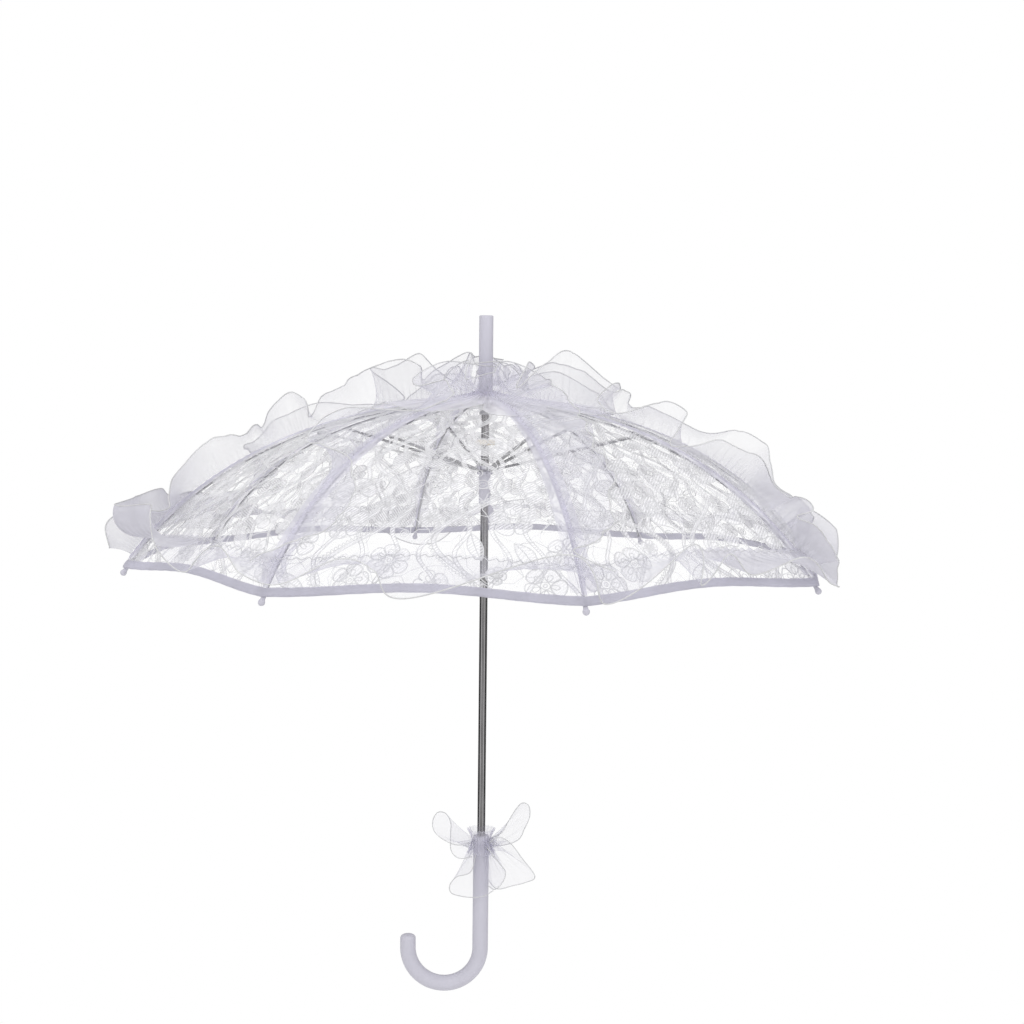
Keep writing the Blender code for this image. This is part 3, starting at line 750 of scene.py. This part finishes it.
def make_hem(k):
    """The satin binding along the hem, folded round the lace's edge."""
    sides = row(-1, 1, 49)
    profile = np.array([(-8.0, 0.7), (-6.4, 1.1), (-4.0, 1.2), (-1.2, 1.0), (0.3, 0.3),
                        (0.3, -0.6), (-1.2, -1.1), (-4.0, -1.2), (-8.0, -0.8)]) / 1000
    arcs, lifts = HEM_ARC + profile[:, :1], CLOTH_LIFT + profile[:, 1:]
    ripple = 0.00025 * np.sin(70 * sides * pi / 2 + k)
    points = canopy(k, arcs, sides, lifts + ripple)
    uv = joined(sides * panel_half_width(RIB_LENGTH), arcs)
    return on_rib(grid_object(f"hem_binding_{k + 1}", points, SATIN, uv), k)


def make_seam_band(k):
    """The organza tape that covers the seam over the rib."""
    arcs, across = column(0.030, RIB_LENGTH - 0.006, 90), row(-1, 1, 7)
    half = 0.006 + 0.006 * arcs / RIB_LENGTH
    sides = across * half / panel_half_width(arcs)
    pleat = 0.0003 * (1 + np.sin(arcs * 700 + 2 * across))
    points = canopy(k, arcs, sides, CLOTH_LIFT + 0.0009 + pleat)
    uv = joined(across * half, arcs)
    return on_rib(grid_object(f"seam_band_{k + 1}", points, BAND_ORGANZA, uv), k)


def make_seam_tape(k):
    """The lace's folded seam allowance, which hides the rib from outside."""
    arcs, across = column(0.014, RIB_LENGTH - 0.004, 90), row(-1, 1, 5)
    half = 0.0026
    points = canopy(k, arcs, across * half / panel_half_width(arcs), CLOTH_LIFT + 0.0005)
    uv = joined(across * half, arcs)
    return on_rib(grid_object(f"seam_tape_{k + 1}", points, TAPE, uv), k)


# ---- ruffles ----

SIDE_RIBS = (0, 3, 4, 7)
RUFFLE_FROM, RUFFLE_TO = 0.008, 0.380
RUFFLE_WIDTH = 0.052
RIM_WIDTH = 0.054

# The free edge of each rib's ruffle: (arc from the pivot, height over the rib) in mm, and how far
# it falls to one side (1 is all the way towards the next rib, -1 towards the last one).
RUFFLE_EDGES = [
    [(4, 30, -0.4), (20, 34, 0.6), (40, 30, 0.9), (60, 40, 0.2), (80, 34, -0.8), (100, 20, -1),
     (125, 26, -0.5), (150, 16, 0.5), (175, 24, 0.9), (199, 21, 0.6), (234, 24, 0.6),
     (255, 40, 0.2), (278, 43, -0.1), (284, 26, -0.7), (292, 8, -1), (315, 10, -0.9),
     (335, 22, -0.3), (356, 30, 0.2), (374, 28, 0.6), (386, 16, 0.8)],
    [(5, 38, -0.3), (28, 40, 0.6), (48, 28, 1), (70, 22, 0.9), (95, 34, 0.2), (115, 42, -0.4),
     (138, 26, -1), (170, 14, -1), (195, 24, -0.5), (218, 36, 0.2), (238, 30, 0.8), (268, 16, 1),
     (300, 18, 0.8), (322, 34, 0.1), (345, 26, -0.7), (384, 18, -0.5)],
    [(5, 40, 0.3), (25, 44, -0.5), (50, 30, -1), (80, 24, -0.9), (105, 36, -0.1), (125, 40, 0.5),
     (150, 24, 1), (180, 16, 1), (205, 26, 0.4), (225, 38, -0.3), (250, 26, -0.9), (285, 14, -1),
     (310, 26, -0.4), (330, 36, 0.3), (352, 24, 0.9), (384, 18, 0.6)],
    [(4, 36, 0.0), (16, 45, -0.5), (38, 30, -0.9), (49, 20, -0.8), (51, 30, -0.3), (59, 48, 0.1),
     (74, 42, 0.5), (92, 38, 0.6), (117, 44, 0.1), (118, 30, -0.6), (117, 14, -1), (135, 12, -1),
     (165, 20, -0.6), (190, 30, 0.2), (215, 24, 0.9), (240, 16, 1), (265, 20, 0.8), (285, 30, 0.1),
     (305, 20, -0.8), (330, 14, -1), (350, 28, -0.3), (368, 30, 0.4), (386, 16, 0.8)],
    [(2, 40, 0.2), (14, 44, 0.6), (33, 29, -0.8), (45, 20, -0.8), (60, 36, 0.5), (75, 44, 0.2),
     (97, 40, -0.4), (110, 34, -0.9), (126, 26, -1), (146, 23, -0.6), (168, 9, 0.4), (171, 30, 0.8),
     (178, 38, 0.2), (195, 27, -0.8), (206, 13, -1), (214, 20, -0.6), (231, 20, 0.6),
     (247, 29, 0.9), (267, 32, 0.8), (297, 25, 0.9), (316, 16, 0.9), (323, 6, 1), (336, 15, 0.7),
     (349, 27, 0.3), (358, 33, 0), (374, 33, 0.1), (386, 20, 0.3)],
    [(5, 30, 0.5), (25, 36, -0.6), (50, 26, -0.9), (75, 18, -0.5), (95, 28, 0.5), (120, 20, 0.9),
     (150, 14, 0.8), (175, 22, 0.2), (195, 32, -0.4), (216, 32, -0.7), (243, 27, -0.6),
     (250, 26, 0), (266, 24, 0.75), (283, 14, 0.9), (301, 12, 1), (324, 12, 1), (345, 16, 0.8),
     (362, 24, 0.4), (378, 24, 0)],
    [(5, 34, -0.4), (22, 36, 0.5), (40, 24, 1), (62, 18, 1), (85, 24, 0.8), (105, 20, 1),
     (130, 14, 1), (160, 12, 0.95), (190, 16, 0.9), (225, 12, 0.85), (258, 12, 0.95),
     (285, 14, 0.8), (306, 12, 0.75), (327, 12, 0.62), (345, 20, 0.3), (362, 26, -0.2),
     (378, 22, 0.4)],
    [(7, 22, 0.4), (25, 31, 0.85), (44, 37, -0.3), (54, 14, -0.9), (64, 40, -0.5), (72, 52, 0),
     (84, 52, 0.3), (98, 36, 0.8), (112, 24, 0.9), (126, 34, 0.3), (133, 33, -0.4), (138, 20, -1),
     (158, 14, -0.9), (166, 22, -0.3), (176, 32, 0.2), (193, 31, 0.4), (206, 23, -0.3),
     (218, 11, -0.9), (233, 16, -1), (244, 31, -0.5), (262, 33, -0.2), (277, 32, 0.2),
     (288, 12, 0.8), (304, 9, 1), (316, 24, 0.6), (338, 36, 0), (338, 26, -0.4), (355, 33, -0.4),
     (370, 31, -0.2), (384, 24, 0)],
]

# The rim ruffle's slope below the horizontal, at angles about the axis, both in degrees.
RIM_SLOPES = [
    (2, 40), (11, 22), (20, -16), (28, 22), (37, -5), (47, 26), (58, -8), (70, 28), (82, 0),
    (94, 20), (106, 62), (117, 10), (128, 25), (139, -4), (150, -28), (160, -22), (170, -40),
    (179, -33), (188, -45), (197, -36), (205, -42), (212, -18), (219, 14), (226, 24), (233, -6),
    (244, 22), (252, 2), (257, 12), (262, 38), (280, -9), (288, 33), (299, -10), (302.5, 27),
    (305.5, 2), (311, 21), (320, 6), (327, 30), (334, 38), (342, 38), (350, 38), (356, 34),
]


def smooth_noise(seed, count, size, knots):
    """count values in about -size..size that change smoothly, from a seed."""
    draw = random.Random(seed)
    heights = [draw.uniform(-size, size) for _ in range(knots)]
    return curve_through([[height] for height in heights], count)[:, 0]


def curve_through(points, count):
    """A smooth line through the points."""
    points = np.asarray(points, float)
    padded = np.vstack([2 * points[0] - points[1], points, 2 * points[-1] - points[-2]])
    made = []
    for t in np.linspace(0, len(points) - 1 - 1e-9, count):
        i = int(t)
        f = t - i
        a, b, c, d = padded[i:i + 4]
        made.append(0.5 * (2 * b + (c - a) * f + (2 * a - 5 * b + 4 * c - d) * f ** 2
                           + (3 * b - a - 3 * c + d) * f ** 3))
    return np.array(made)


def corded(name, k, points, uv, material, cord=(0.0006, 6)):
    """A gathered strip from points[row][column], with a rolled cord along its last row.

    cord is the cord's radius and its number of sides."""
    strip = on_rib(grid_object(f"{name}_{k + 1}", points, material, uv), k)
    edge = tubes_object(f"{name}_edge_{k + 1}", [points[-1]], *cord, EDGE_CORD)
    on_rib(edge, k)
    return strip


def edge_length(points):
    """The length of the last row of points."""
    return float(np.linalg.norm(np.diff(points[-1], axis=0), axis=1).sum())


def make_rib_ruffle(k):
    """The standing ruffle along rib k's seam, with its corded free edge."""
    columns, rows, pleat_count, reach = 380, 15, 46, 30
    u, v = np.linspace(0, 1, columns), column(0, 1, rows)
    path = curve_through(RUFFLE_EDGES[k], columns)
    edge_arc, edge_rise, lean = path[:, 0] / 1000, path[:, 1] / 1000, np.clip(path[:, 2], -1, 1)
    even = np.linspace(RUFFLE_FROM, RUFFLE_TO, columns)
    average = np.ones(2 * reach + 1) / (2 * reach + 1)
    smooth = np.convolve(np.pad(edge_arc, reach, "edge"), average, "valid")
    base_arc = np.maximum.accumulate(0.75 * smooth + 0.25 * even)
    apart = edge_arc - base_arc
    room = RUFFLE_WIDTH ** 2 - edge_rise ** 2 - 0.5 * apart ** 2
    edge_side = lean * np.sqrt(np.maximum(room, 0))
    quiet_start = np.clip(np.linspace(0, 12, columns), 0, 1)
    small = smooth_noise(150 + k, columns, 0.0035, 40) * quiet_start
    pleats = np.sin(2 * pi * pleat_count * u + k)
    side = edge_side * v ** 1.35 + small * v + 0.0014 * pleats * (1 - v) ** 2
    rise = edge_rise * v ** 0.75 + 0.5 * np.abs(small) * v
    arc = base_arc + apart * v ** 1.2 + 0.5 * np.roll(small, 9) * v
    radius, height = rib_curve(arc, CLOTH_LIFT + 0.0016 + rise)
    points = in_row_frame(k, radius, side, height)
    uv = joined(u * edge_length(points), v * RUFFLE_WIDTH)
    cloth = SIDE_ORGANZA if k in SIDE_RIBS else ORGANZA
    corded("rib_ruffle", k, points, uv, cloth)


def rim_slope(turn):
    """The rim ruffle's slope below the horizontal at an angle about the axis."""
    around = [(a + lap, slope) for lap in (-360, 0, 360) for a, slope in RIM_SLOPES]
    line = curve_through(around, 40 * len(around))
    return np.radians(np.interp(np.degrees(turn) % 360, line[:, 0], line[:, 1]))


def make_rim_ruffle(k):
    """Rib k's length of the ruffle that stands out round the rim."""
    columns, rows, panel_pleats = 170, 13, 26
    sides, v = row(-1, 1, columns), column(0, 1, rows)
    stitch = canopy(k, RIM_STITCH_ARC, sides, CLOTH_LIFT + 0.0012)
    turn = RIB_ANGLES[k] + sides * PANEL_HALF
    slope = rim_slope(turn)
    start = radians(30)
    droop = start + 2 * (slope - start) * v
    pleats = np.sin(turn * RIBS * panel_pleats)
    step = RIM_WIDTH / (rows - 1)
    reach = np.cumsum(np.cos(droop), axis=0) * step - np.cos(droop[:1]) * step
    drop = np.cumsum(np.sin(droop), axis=0) * step - np.sin(droop[:1]) * step
    shift = 0.018 * (radians(10) - slope) * v ** 1.5 + 0.0010 * (1 - v) ** 2 * pleats
    lift = 0.0012 + 0.0012 * pleats * (1 - v) ** 2
    c, s = np.cos(turn), np.sin(turn)
    points = stitch + joined(c * reach - s * shift, s * reach + c * shift, lift - drop)
    uv = joined((sides + 1) / 2 * edge_length(points), v * RIM_WIDTH)
    stitching = tubes_object(f"rim_stitching_{k + 1}", [points[1]], 0.00035, 4, THREAD)
    on_rib(stitching, k)
    cloth = SIDE_ORGANZA if k in SIDE_RIBS else RIM_ORGANZA
    strip = corded("rim_ruffle", k, points, uv, cloth)
    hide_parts(f"ruffle_{k + 1}")


def make_shade():
    """Every gore with its lace, hem, seam band and ruffles."""
    lace = make_lace()
    for k in range(RIBS):
        gore, hem, band, tape = make_gore(k), make_hem(k), make_seam_band(k), make_seam_tape(k)
        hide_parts(f"lace_gore_{k + 1}")
        make_rib_ruffle(k)
        make_rim_ruffle(k)


def make_rosette():
    """The pinked cloth disc under the crown, one folded sector to each rib."""
    inner, outer, lift, tooth_depth, teeth = 0.0108, 0.028, 0.0018, 0.0024, 3
    sides, v = row(-1, 1, 31), column(0, 1, 9)
    tooth = 1 - 2 * np.abs((sides * teeth + 0.5) % 1 - 0.5)
    reach = inner + (outer - inner - tooth_depth * (1 - tooth)) * v
    fold = np.abs(0.0016 * np.cos(pi * sides) * np.sin(pi * v * 0.6)) * np.abs(sides)
    angle = sides * PANEL_HALF
    _, height = rib_curve(reach - PIVOT_RADIUS, lift)
    uv = joined(reach * angle, reach)
    for k in range(RIBS):
        points = in_row_frame(k, reach * np.cos(angle), reach * np.sin(angle), height - fold)
        petal = grid_object(f"rosette_petal_{k + 1}", points, ROSETTE_CLOTH, uv)
        on_rib(petal, k)
        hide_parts("inner_rosette")


def make_crown():
    """The gathered organza collar round the ferrule's foot."""
    foot, width = FERRULE_RADIUS + 0.0012, 0.037
    turn, v = full_turn(420)[None, :], column(0, 1, 12)
    folds = 0.65 * np.sin(5 * turn + 0.7) + 0.35 * np.sin(8 * turn + 2)
    tilt = radians(37) + radians(25) * folds
    reach = foot + width * v * np.cos(tilt * v ** 0.4) + 0.0005 * np.sin(48 * turn) * (1 - v)
    rise = PIVOT_Z + 0.0085 + width * v * np.sin(tilt * v ** 0.4)
    points = about_axis(reach, turn + 0.10 * v ** 1.4 * np.sin(8 * turn + 1.0), rise)
    uv = joined(turn * 0.03, v * width)
    collar = grid_object("crown_collar", points, CROWN_ORGANZA, uv, closed=True)
    edge = tubes_object("crown_collar_edge", [points[-1]], 0.0005, 5, EDGE_CORD, closed=True)
    on_body(collar, "root", "organza", "crown_ruffle")
    on_body(edge, "root", "organza")


def make_crown_skirt():
    """The crown's lower layer of organza, over the top of the shade, as each rib's share."""
    inner, width = FERRULE_RADIUS + 0.0008, 0.108
    v = column(0, 1, 14)
    for k in range(RIBS):
        turn = RIB_ANGLES[k] + PANEL_HALF * row(-1, 1, 61)
        radius = inner + (width + 0.014 * np.cos(RIBS * (turn - RIB_ANGLES[0]))) * v
        _, height = rib_curve(np.maximum(radius - PIVOT_RADIUS, 0.0), CLOTH_LIFT + 0.0022)
        waves = 0.0024 * (1 + np.sin(11 * turn + 0.6 * np.sin(3 * turn))) * v ** 2
        pleats = 0.0011 * (1 + np.sin(60 * turn)) * (1 - v) + 0.004 * np.exp(-v * 8)
        angle = turn + 0.10 * v ** 1.5 * np.cos(11 * turn)
        points = about_axis(radius, angle, height + waves + pleats)
        uv = joined(turn * 0.05, v * width)
        corded("crown_skirt", k, points, uv, CROWN_ORGANZA,
               cord=(0.0003, 5))


# ---- bow ----

# The edge of each of the bow's leaves from the middle of its knot, as (x, y, z) in mm.
BOW_LEAVES = {
    "left_loop": [(-8, -3, 3), (-22, -12, 1), (-36, -14, 6), (-47, -10, 14), (-49, -4, 24),
                  (-44, 2, 31), (-36, 4, 29), (-31, 2, 20), (-31, -4, 8), (-30, -8, -6),
                  (-22, -10, -13), (-9, -8, -12)],
    "right_loop": [(6, 0, 4), (20, -6, 12), (27, -8, 24), (34, -8, 36), (41, -5, 43), (48, 0, 39),
                   (49, 4, 27), (44, 6, 14), (38, 5, 3), (24, 2, -2), (8, 2, -3)],
    "right_tail": [(8, -6, 2), (18, -10, 9), (30, -11, 3), (42, -9, -13), (55, -6, -32),
                   (45, -4, -39), (33, -5, -42), (17, -7, -45), (8, -9, -36)],
    "inner_loop": [(6, -9, -2), (12, -14, -8), (20, -17, -17), (25, -16, -25), (23, -13, -35),
                   (15, -12, -44), (7, -12, -40)],
    "lower_loop": [(-5, -10, -8), (-10, -13, -26), (-24, -14, -31), (-31, -12, -40),
                   (-30, -11, -48), (-22, -12, -51), (-8, -14, -52), (4, -15, -50), (13, -13, -45)],
}


def make_bow():
    """The organza bow at the top of the grip: loops and a tail that spread from a pleated knot."""
    leaf_width, count, pleats = 0.045, 72, 9
    u, v = np.linspace(0, 1, count), column(0, 1, 12)[..., None]
    uv = joined(u[None, :] * 0.12, v[..., 0] * 0.04)
    wave = np.sin(2 * pi * pleats * u)[None, :, None]
    pleat = 0.0011 * wave * (1 - v) * np.array([0.3, 1.0, 0.6])
    for name, outline in BOW_LEAVES.items():
        outward = curve_through(np.array(outline) / 1000, count)
        edge = outward + (0.0, 0.0, BOW_Z)
        turn = np.arctan2(outward[:, 1] - 0.004, outward[:, 0])
        foot = about_axis(GRIP_RADIUS + 0.0016, turn, BOW_Z + 0.006 * np.sin(5 * pi * u))
        foot[:, 1] = np.minimum(foot[:, 1], -0.002)
        points = foot[None] * (1 - v) + edge[None] * v + pleat
        leaf = on_body(grid_object(f"bow_{name}", points, ORGANZA, uv), "root", "organza")
        cord = tubes_object(f"bow_{name}_edge", [edge], 0.00045, 6, EDGE_CORD)
        on_body(cord, "root", "organza")
    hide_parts("handle_bow")
    knot_width = 0.025
    turn, v = full_turn(96)[None, :], column(-1, 1, 15)
    flare = 0.0045 * np.abs(v) ** 1.7
    folds = 0.0008 * np.sin(17 * turn + 2 * v) * (0.5 + np.abs(v))
    up = knot_width / 2 * v
    points = about_axis(GRIP_RADIUS + 0.0013 + flare + folds, turn, BOW_Z + 0.003 + up)
    uv = joined(turn * GRIP_RADIUS, up)
    knot = grid_object("bow_knot", points, BAND_ORGANZA, uv, closed=True)
    on_body(knot, "root", "organza")


# ---- hard parts ----

def turned(name, profile, segments, material):
    """A round piece about the axis, from (radius, height) pairs."""
    turn = full_turn(segments)
    points = np.array([[(r * cos(t), r * sin(t), z) for t in turn] for r, z in profile])
    uv = np.array([[(t * max(r, 0.001), z) for t in turn] for r, z in profile])
    obj = grid_object(name, points, material, uv, closed=True)
    smooth_by_angle(obj)
    return obj


def smooth_by_angle(obj, angle=32):
    """Smooth faces that meet in a crease wherever they turn by more than angle, in degrees."""
    obj.data.shade_smooth()
    obj.data.set_sharp_from_angle(angle=radians(angle))


def make_handle():
    """The hooked handle as one smooth sweep with a rounded end and a faint mould line."""
    low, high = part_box("handle")
    hook_radius = (abs(low.x) - GRIP_RADIUS) / 2
    centre_z = low.z + GRIP_RADIUS + hook_radius
    end_z, rounding, seam_height = -0.054, 0.0045, 0.012
    straight_end = end_z - 0.004
    line = [(0, 0, z) for z in np.linspace(high.z, centre_z, 20)]
    for i in range(1, 41):
        t = pi * i / 40
        line.append((-hook_radius + hook_radius * cos(t), 0, centre_z - hook_radius * sin(t)))
    line += [(-2 * hook_radius, 0, z) for z in np.linspace(centre_z, straight_end, 6)[1:]]
    radii = [GRIP_RADIUS] * len(line)
    for i in range(1, 8):
        t = pi / 2 * i / 7
        line.append((-2 * hook_radius, 0, straight_end + (end_z - straight_end) * sin(t)))
        radii.append(GRIP_RADIUS - rounding * (1 - cos(t)))
    line, sides = np.array(line), 40
    along = np.gradient(line, axis=0)
    along /= np.linalg.norm(along, axis=1)[:, None]
    other = np.array([0.0, 1.0, 0.0])
    points, uv = [], []
    length = 0.0
    for i, (spot, tangent, radius) in enumerate(zip(line, along, radii)):
        side = np.cross(other, tangent)
        length += np.linalg.norm(spot - line[i - 1]) if i else 0.0
        for s in range(sides):
            t = 2 * pi * s / sides
            seam = 1 + seam_height * (abs(sin(t)) > 0.999)
            points.append(spot + radius * seam * (cos(t) * side + sin(t) * other))
            uv.append((radius * t, length))
    faces = grid_faces(len(line), sides, True)
    last = (len(line) - 1) * sides
    faces.append(tuple(last + s for s in range(sides)))
    faces.append(tuple(reversed(range(sides))))
    obj = mesh_object("handle_grip", points, faces, WHITE_PLASTIC, uv)
    smooth_by_angle(obj)
    on_body(obj, "root", "white_plastic", "handle")


def make_ferrule():
    """The tall white cap: a plain tube with a softened foot and a rounded, dimpled top."""
    low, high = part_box("ferrule")
    r, top, rounding = FERRULE_RADIUS, high.z, 0.0012
    profile = [(0.0042, low.z), (r - 0.0003, low.z), (r, low.z + 0.0006), (r, top - rounding)]
    for i in range(1, 6):
        t = pi / 2 * i / 5
        profile.append((r - rounding * (1 - cos(t)), top - rounding + rounding * sin(t)))
    profile += [(0.0035, top), (0.0025, top - 0.0004), (0.0001, top - 0.0006)]
    on_body(turned("ferrule_cap", profile, 56, WHITE_PLASTIC), "root", "white_plastic", "ferrule")


def make_rib_wires():
    """Smooth round wires for the ribs, with their eye and the small ring for the stretcher."""
    wire_radius, eye_wire_radius, eye_size, ring_size = 0.0010, 0.00078, 0.0017, 0.00165
    radius, height = rib_curve(np.linspace(0.0016, RIB_LENGTH + 0.004, 110))
    turn = full_turn(20)
    for k in range(RIBS):
        line = in_row_frame(k, radius, 0, height)
        joint = JOINTS[f"stretcher_{k + 1}_hinge"]["pos_m"]
        loop = in_row_frame(k, np.cos(turn), 0, np.sin(turn))
        loops = [PIVOTS[k] + eye_size * loop, joint + ring_size * loop]
        wire = tubes_object(f"rib_wire_{k + 1}", [line], wire_radius, 10, WIRE_STEEL)
        eyes = tubes_object(f"rib_eyes_{k + 1}", loops, eye_wire_radius, 8, WIRE_STEEL, closed=True)
        on_body(wire, f"rib_{k + 1}", "wire_steel", f"rib_{k + 1}")
        on_body(eyes, f"rib_{k + 1}", "wire_steel")


def dress_nodes():
    """Materials for the model's own pieces that show."""
    kinds = {"shaft": SHAFT_STEEL, "top_notch": CLEAR_PLASTIC, "stop_ring": BEIGE_PLASTIC,
             "runner": WHITE_PLASTIC, "spring_catch": WHITE_PLASTIC,
             "notch_wire": WIRE_STEEL, "runner_wire": WIRE_STEEL, "rib_tip": WHITE_PLASTIC,
             "stretcher": CHANNEL_STEEL, "rivet": CHANNEL_STEEL}
    for name, obj in frame["nodes"].items():
        material = kinds.get(name.rstrip("_12345678"))
        if material is not None:
            obj.data.materials.clear()
            obj.data.materials.append(material)
            if "normal" not in obj.data.attributes:
                smooth_by_angle(obj, 34)


# ---- studio ----

def make_studio():
    """White surroundings, two large soft lights in front, and a pale floor.

    Shiny parts see a wall that is dark at the sides, so that steel shows its shape."""
    scene = bpy.context.scene
    scene.view_settings.view_transform = "Standard"
    scene.cycles.transparent_max_bounces = 48
    world = bpy.data.worlds.new("studio")
    scene.world = world
    world.use_nodes = True
    tree = world.node_tree
    tree.nodes.clear()
    paths = node(tree, "LightPath").outputs
    way = node(tree, "TexCoord").outputs["Generated"]
    axes = node(tree, "SeparateXYZ", {0: way}).outputs
    front = maths(tree, "ADD", maths(tree, "MULTIPLY", axes[1], -0.5), 0.5)
    flags = ramp(tree, front, [(0.0, 0.4), (0.25, 0.22), (0.45, 0.04), (0.80, 0.07), (0.91, 0.85),
                               (1.0, 1.0)])
    wrap = ramp(tree, front, [(0.0, 0.62), (1.0, 1.12)])
    white, soft, dark = (
        result(tree, "Background", {"Color": colour, "Strength": strength})
        for colour, strength in (((1, 1, 1, 1), 1.0), (wrap, 0.97), (flags, 0.8)))
    lit = result(tree, "MixShader", {0: paths["Is Glossy Ray"], 1: soft, 2: dark})
    seen = result(tree, "MixShader", {0: paths["Is Camera Ray"], 1: lit, 2: white})
    out = node(tree, "OutputWorld")
    tree.links.new(seen, out.inputs["Surface"])
    middle = Vector((0, 0, 0.35))
    for name, place, size, power in (("key", (-1.2, -1.6, 2.2), 1.8, 22),
                                     ("fill", (1.8, -1.0, 0.9), 1.6, 8)):
        light = bpy.data.lights.new(name, "AREA")
        light.energy, light.size = power, size
        obj = bpy.data.objects.new(name, light)
        scene.collection.objects.link(obj)
        obj.location = place
        obj.rotation_euler = (middle - Vector(place)).to_track_quat("-Z", "Y").to_euler()
    floor_z, half = -0.62, 1.2
    material, tree = new_material("floor_paper")
    grain = noise(tree, 300.0)
    tint = ramp(tree, grain, [(0.0, 0.88), (1.0, 0.93)])
    finish_material(material, principled(tree, {"Base Color": tint, "Roughness": 0.9}))
    corners = [(x * half, y * half, floor_z) for x, y in ((-1, -1), (1, -1), (1, 1), (-1, 1))]
    mesh_object("floor", corners, [(0, 1, 2, 3)], material, smooth=False)


make_studio()
dress_nodes()
make_handle()
make_ferrule()
make_rib_wires()
make_shade()
make_rosette()
make_crown()
make_crown_skirt()
make_bow()
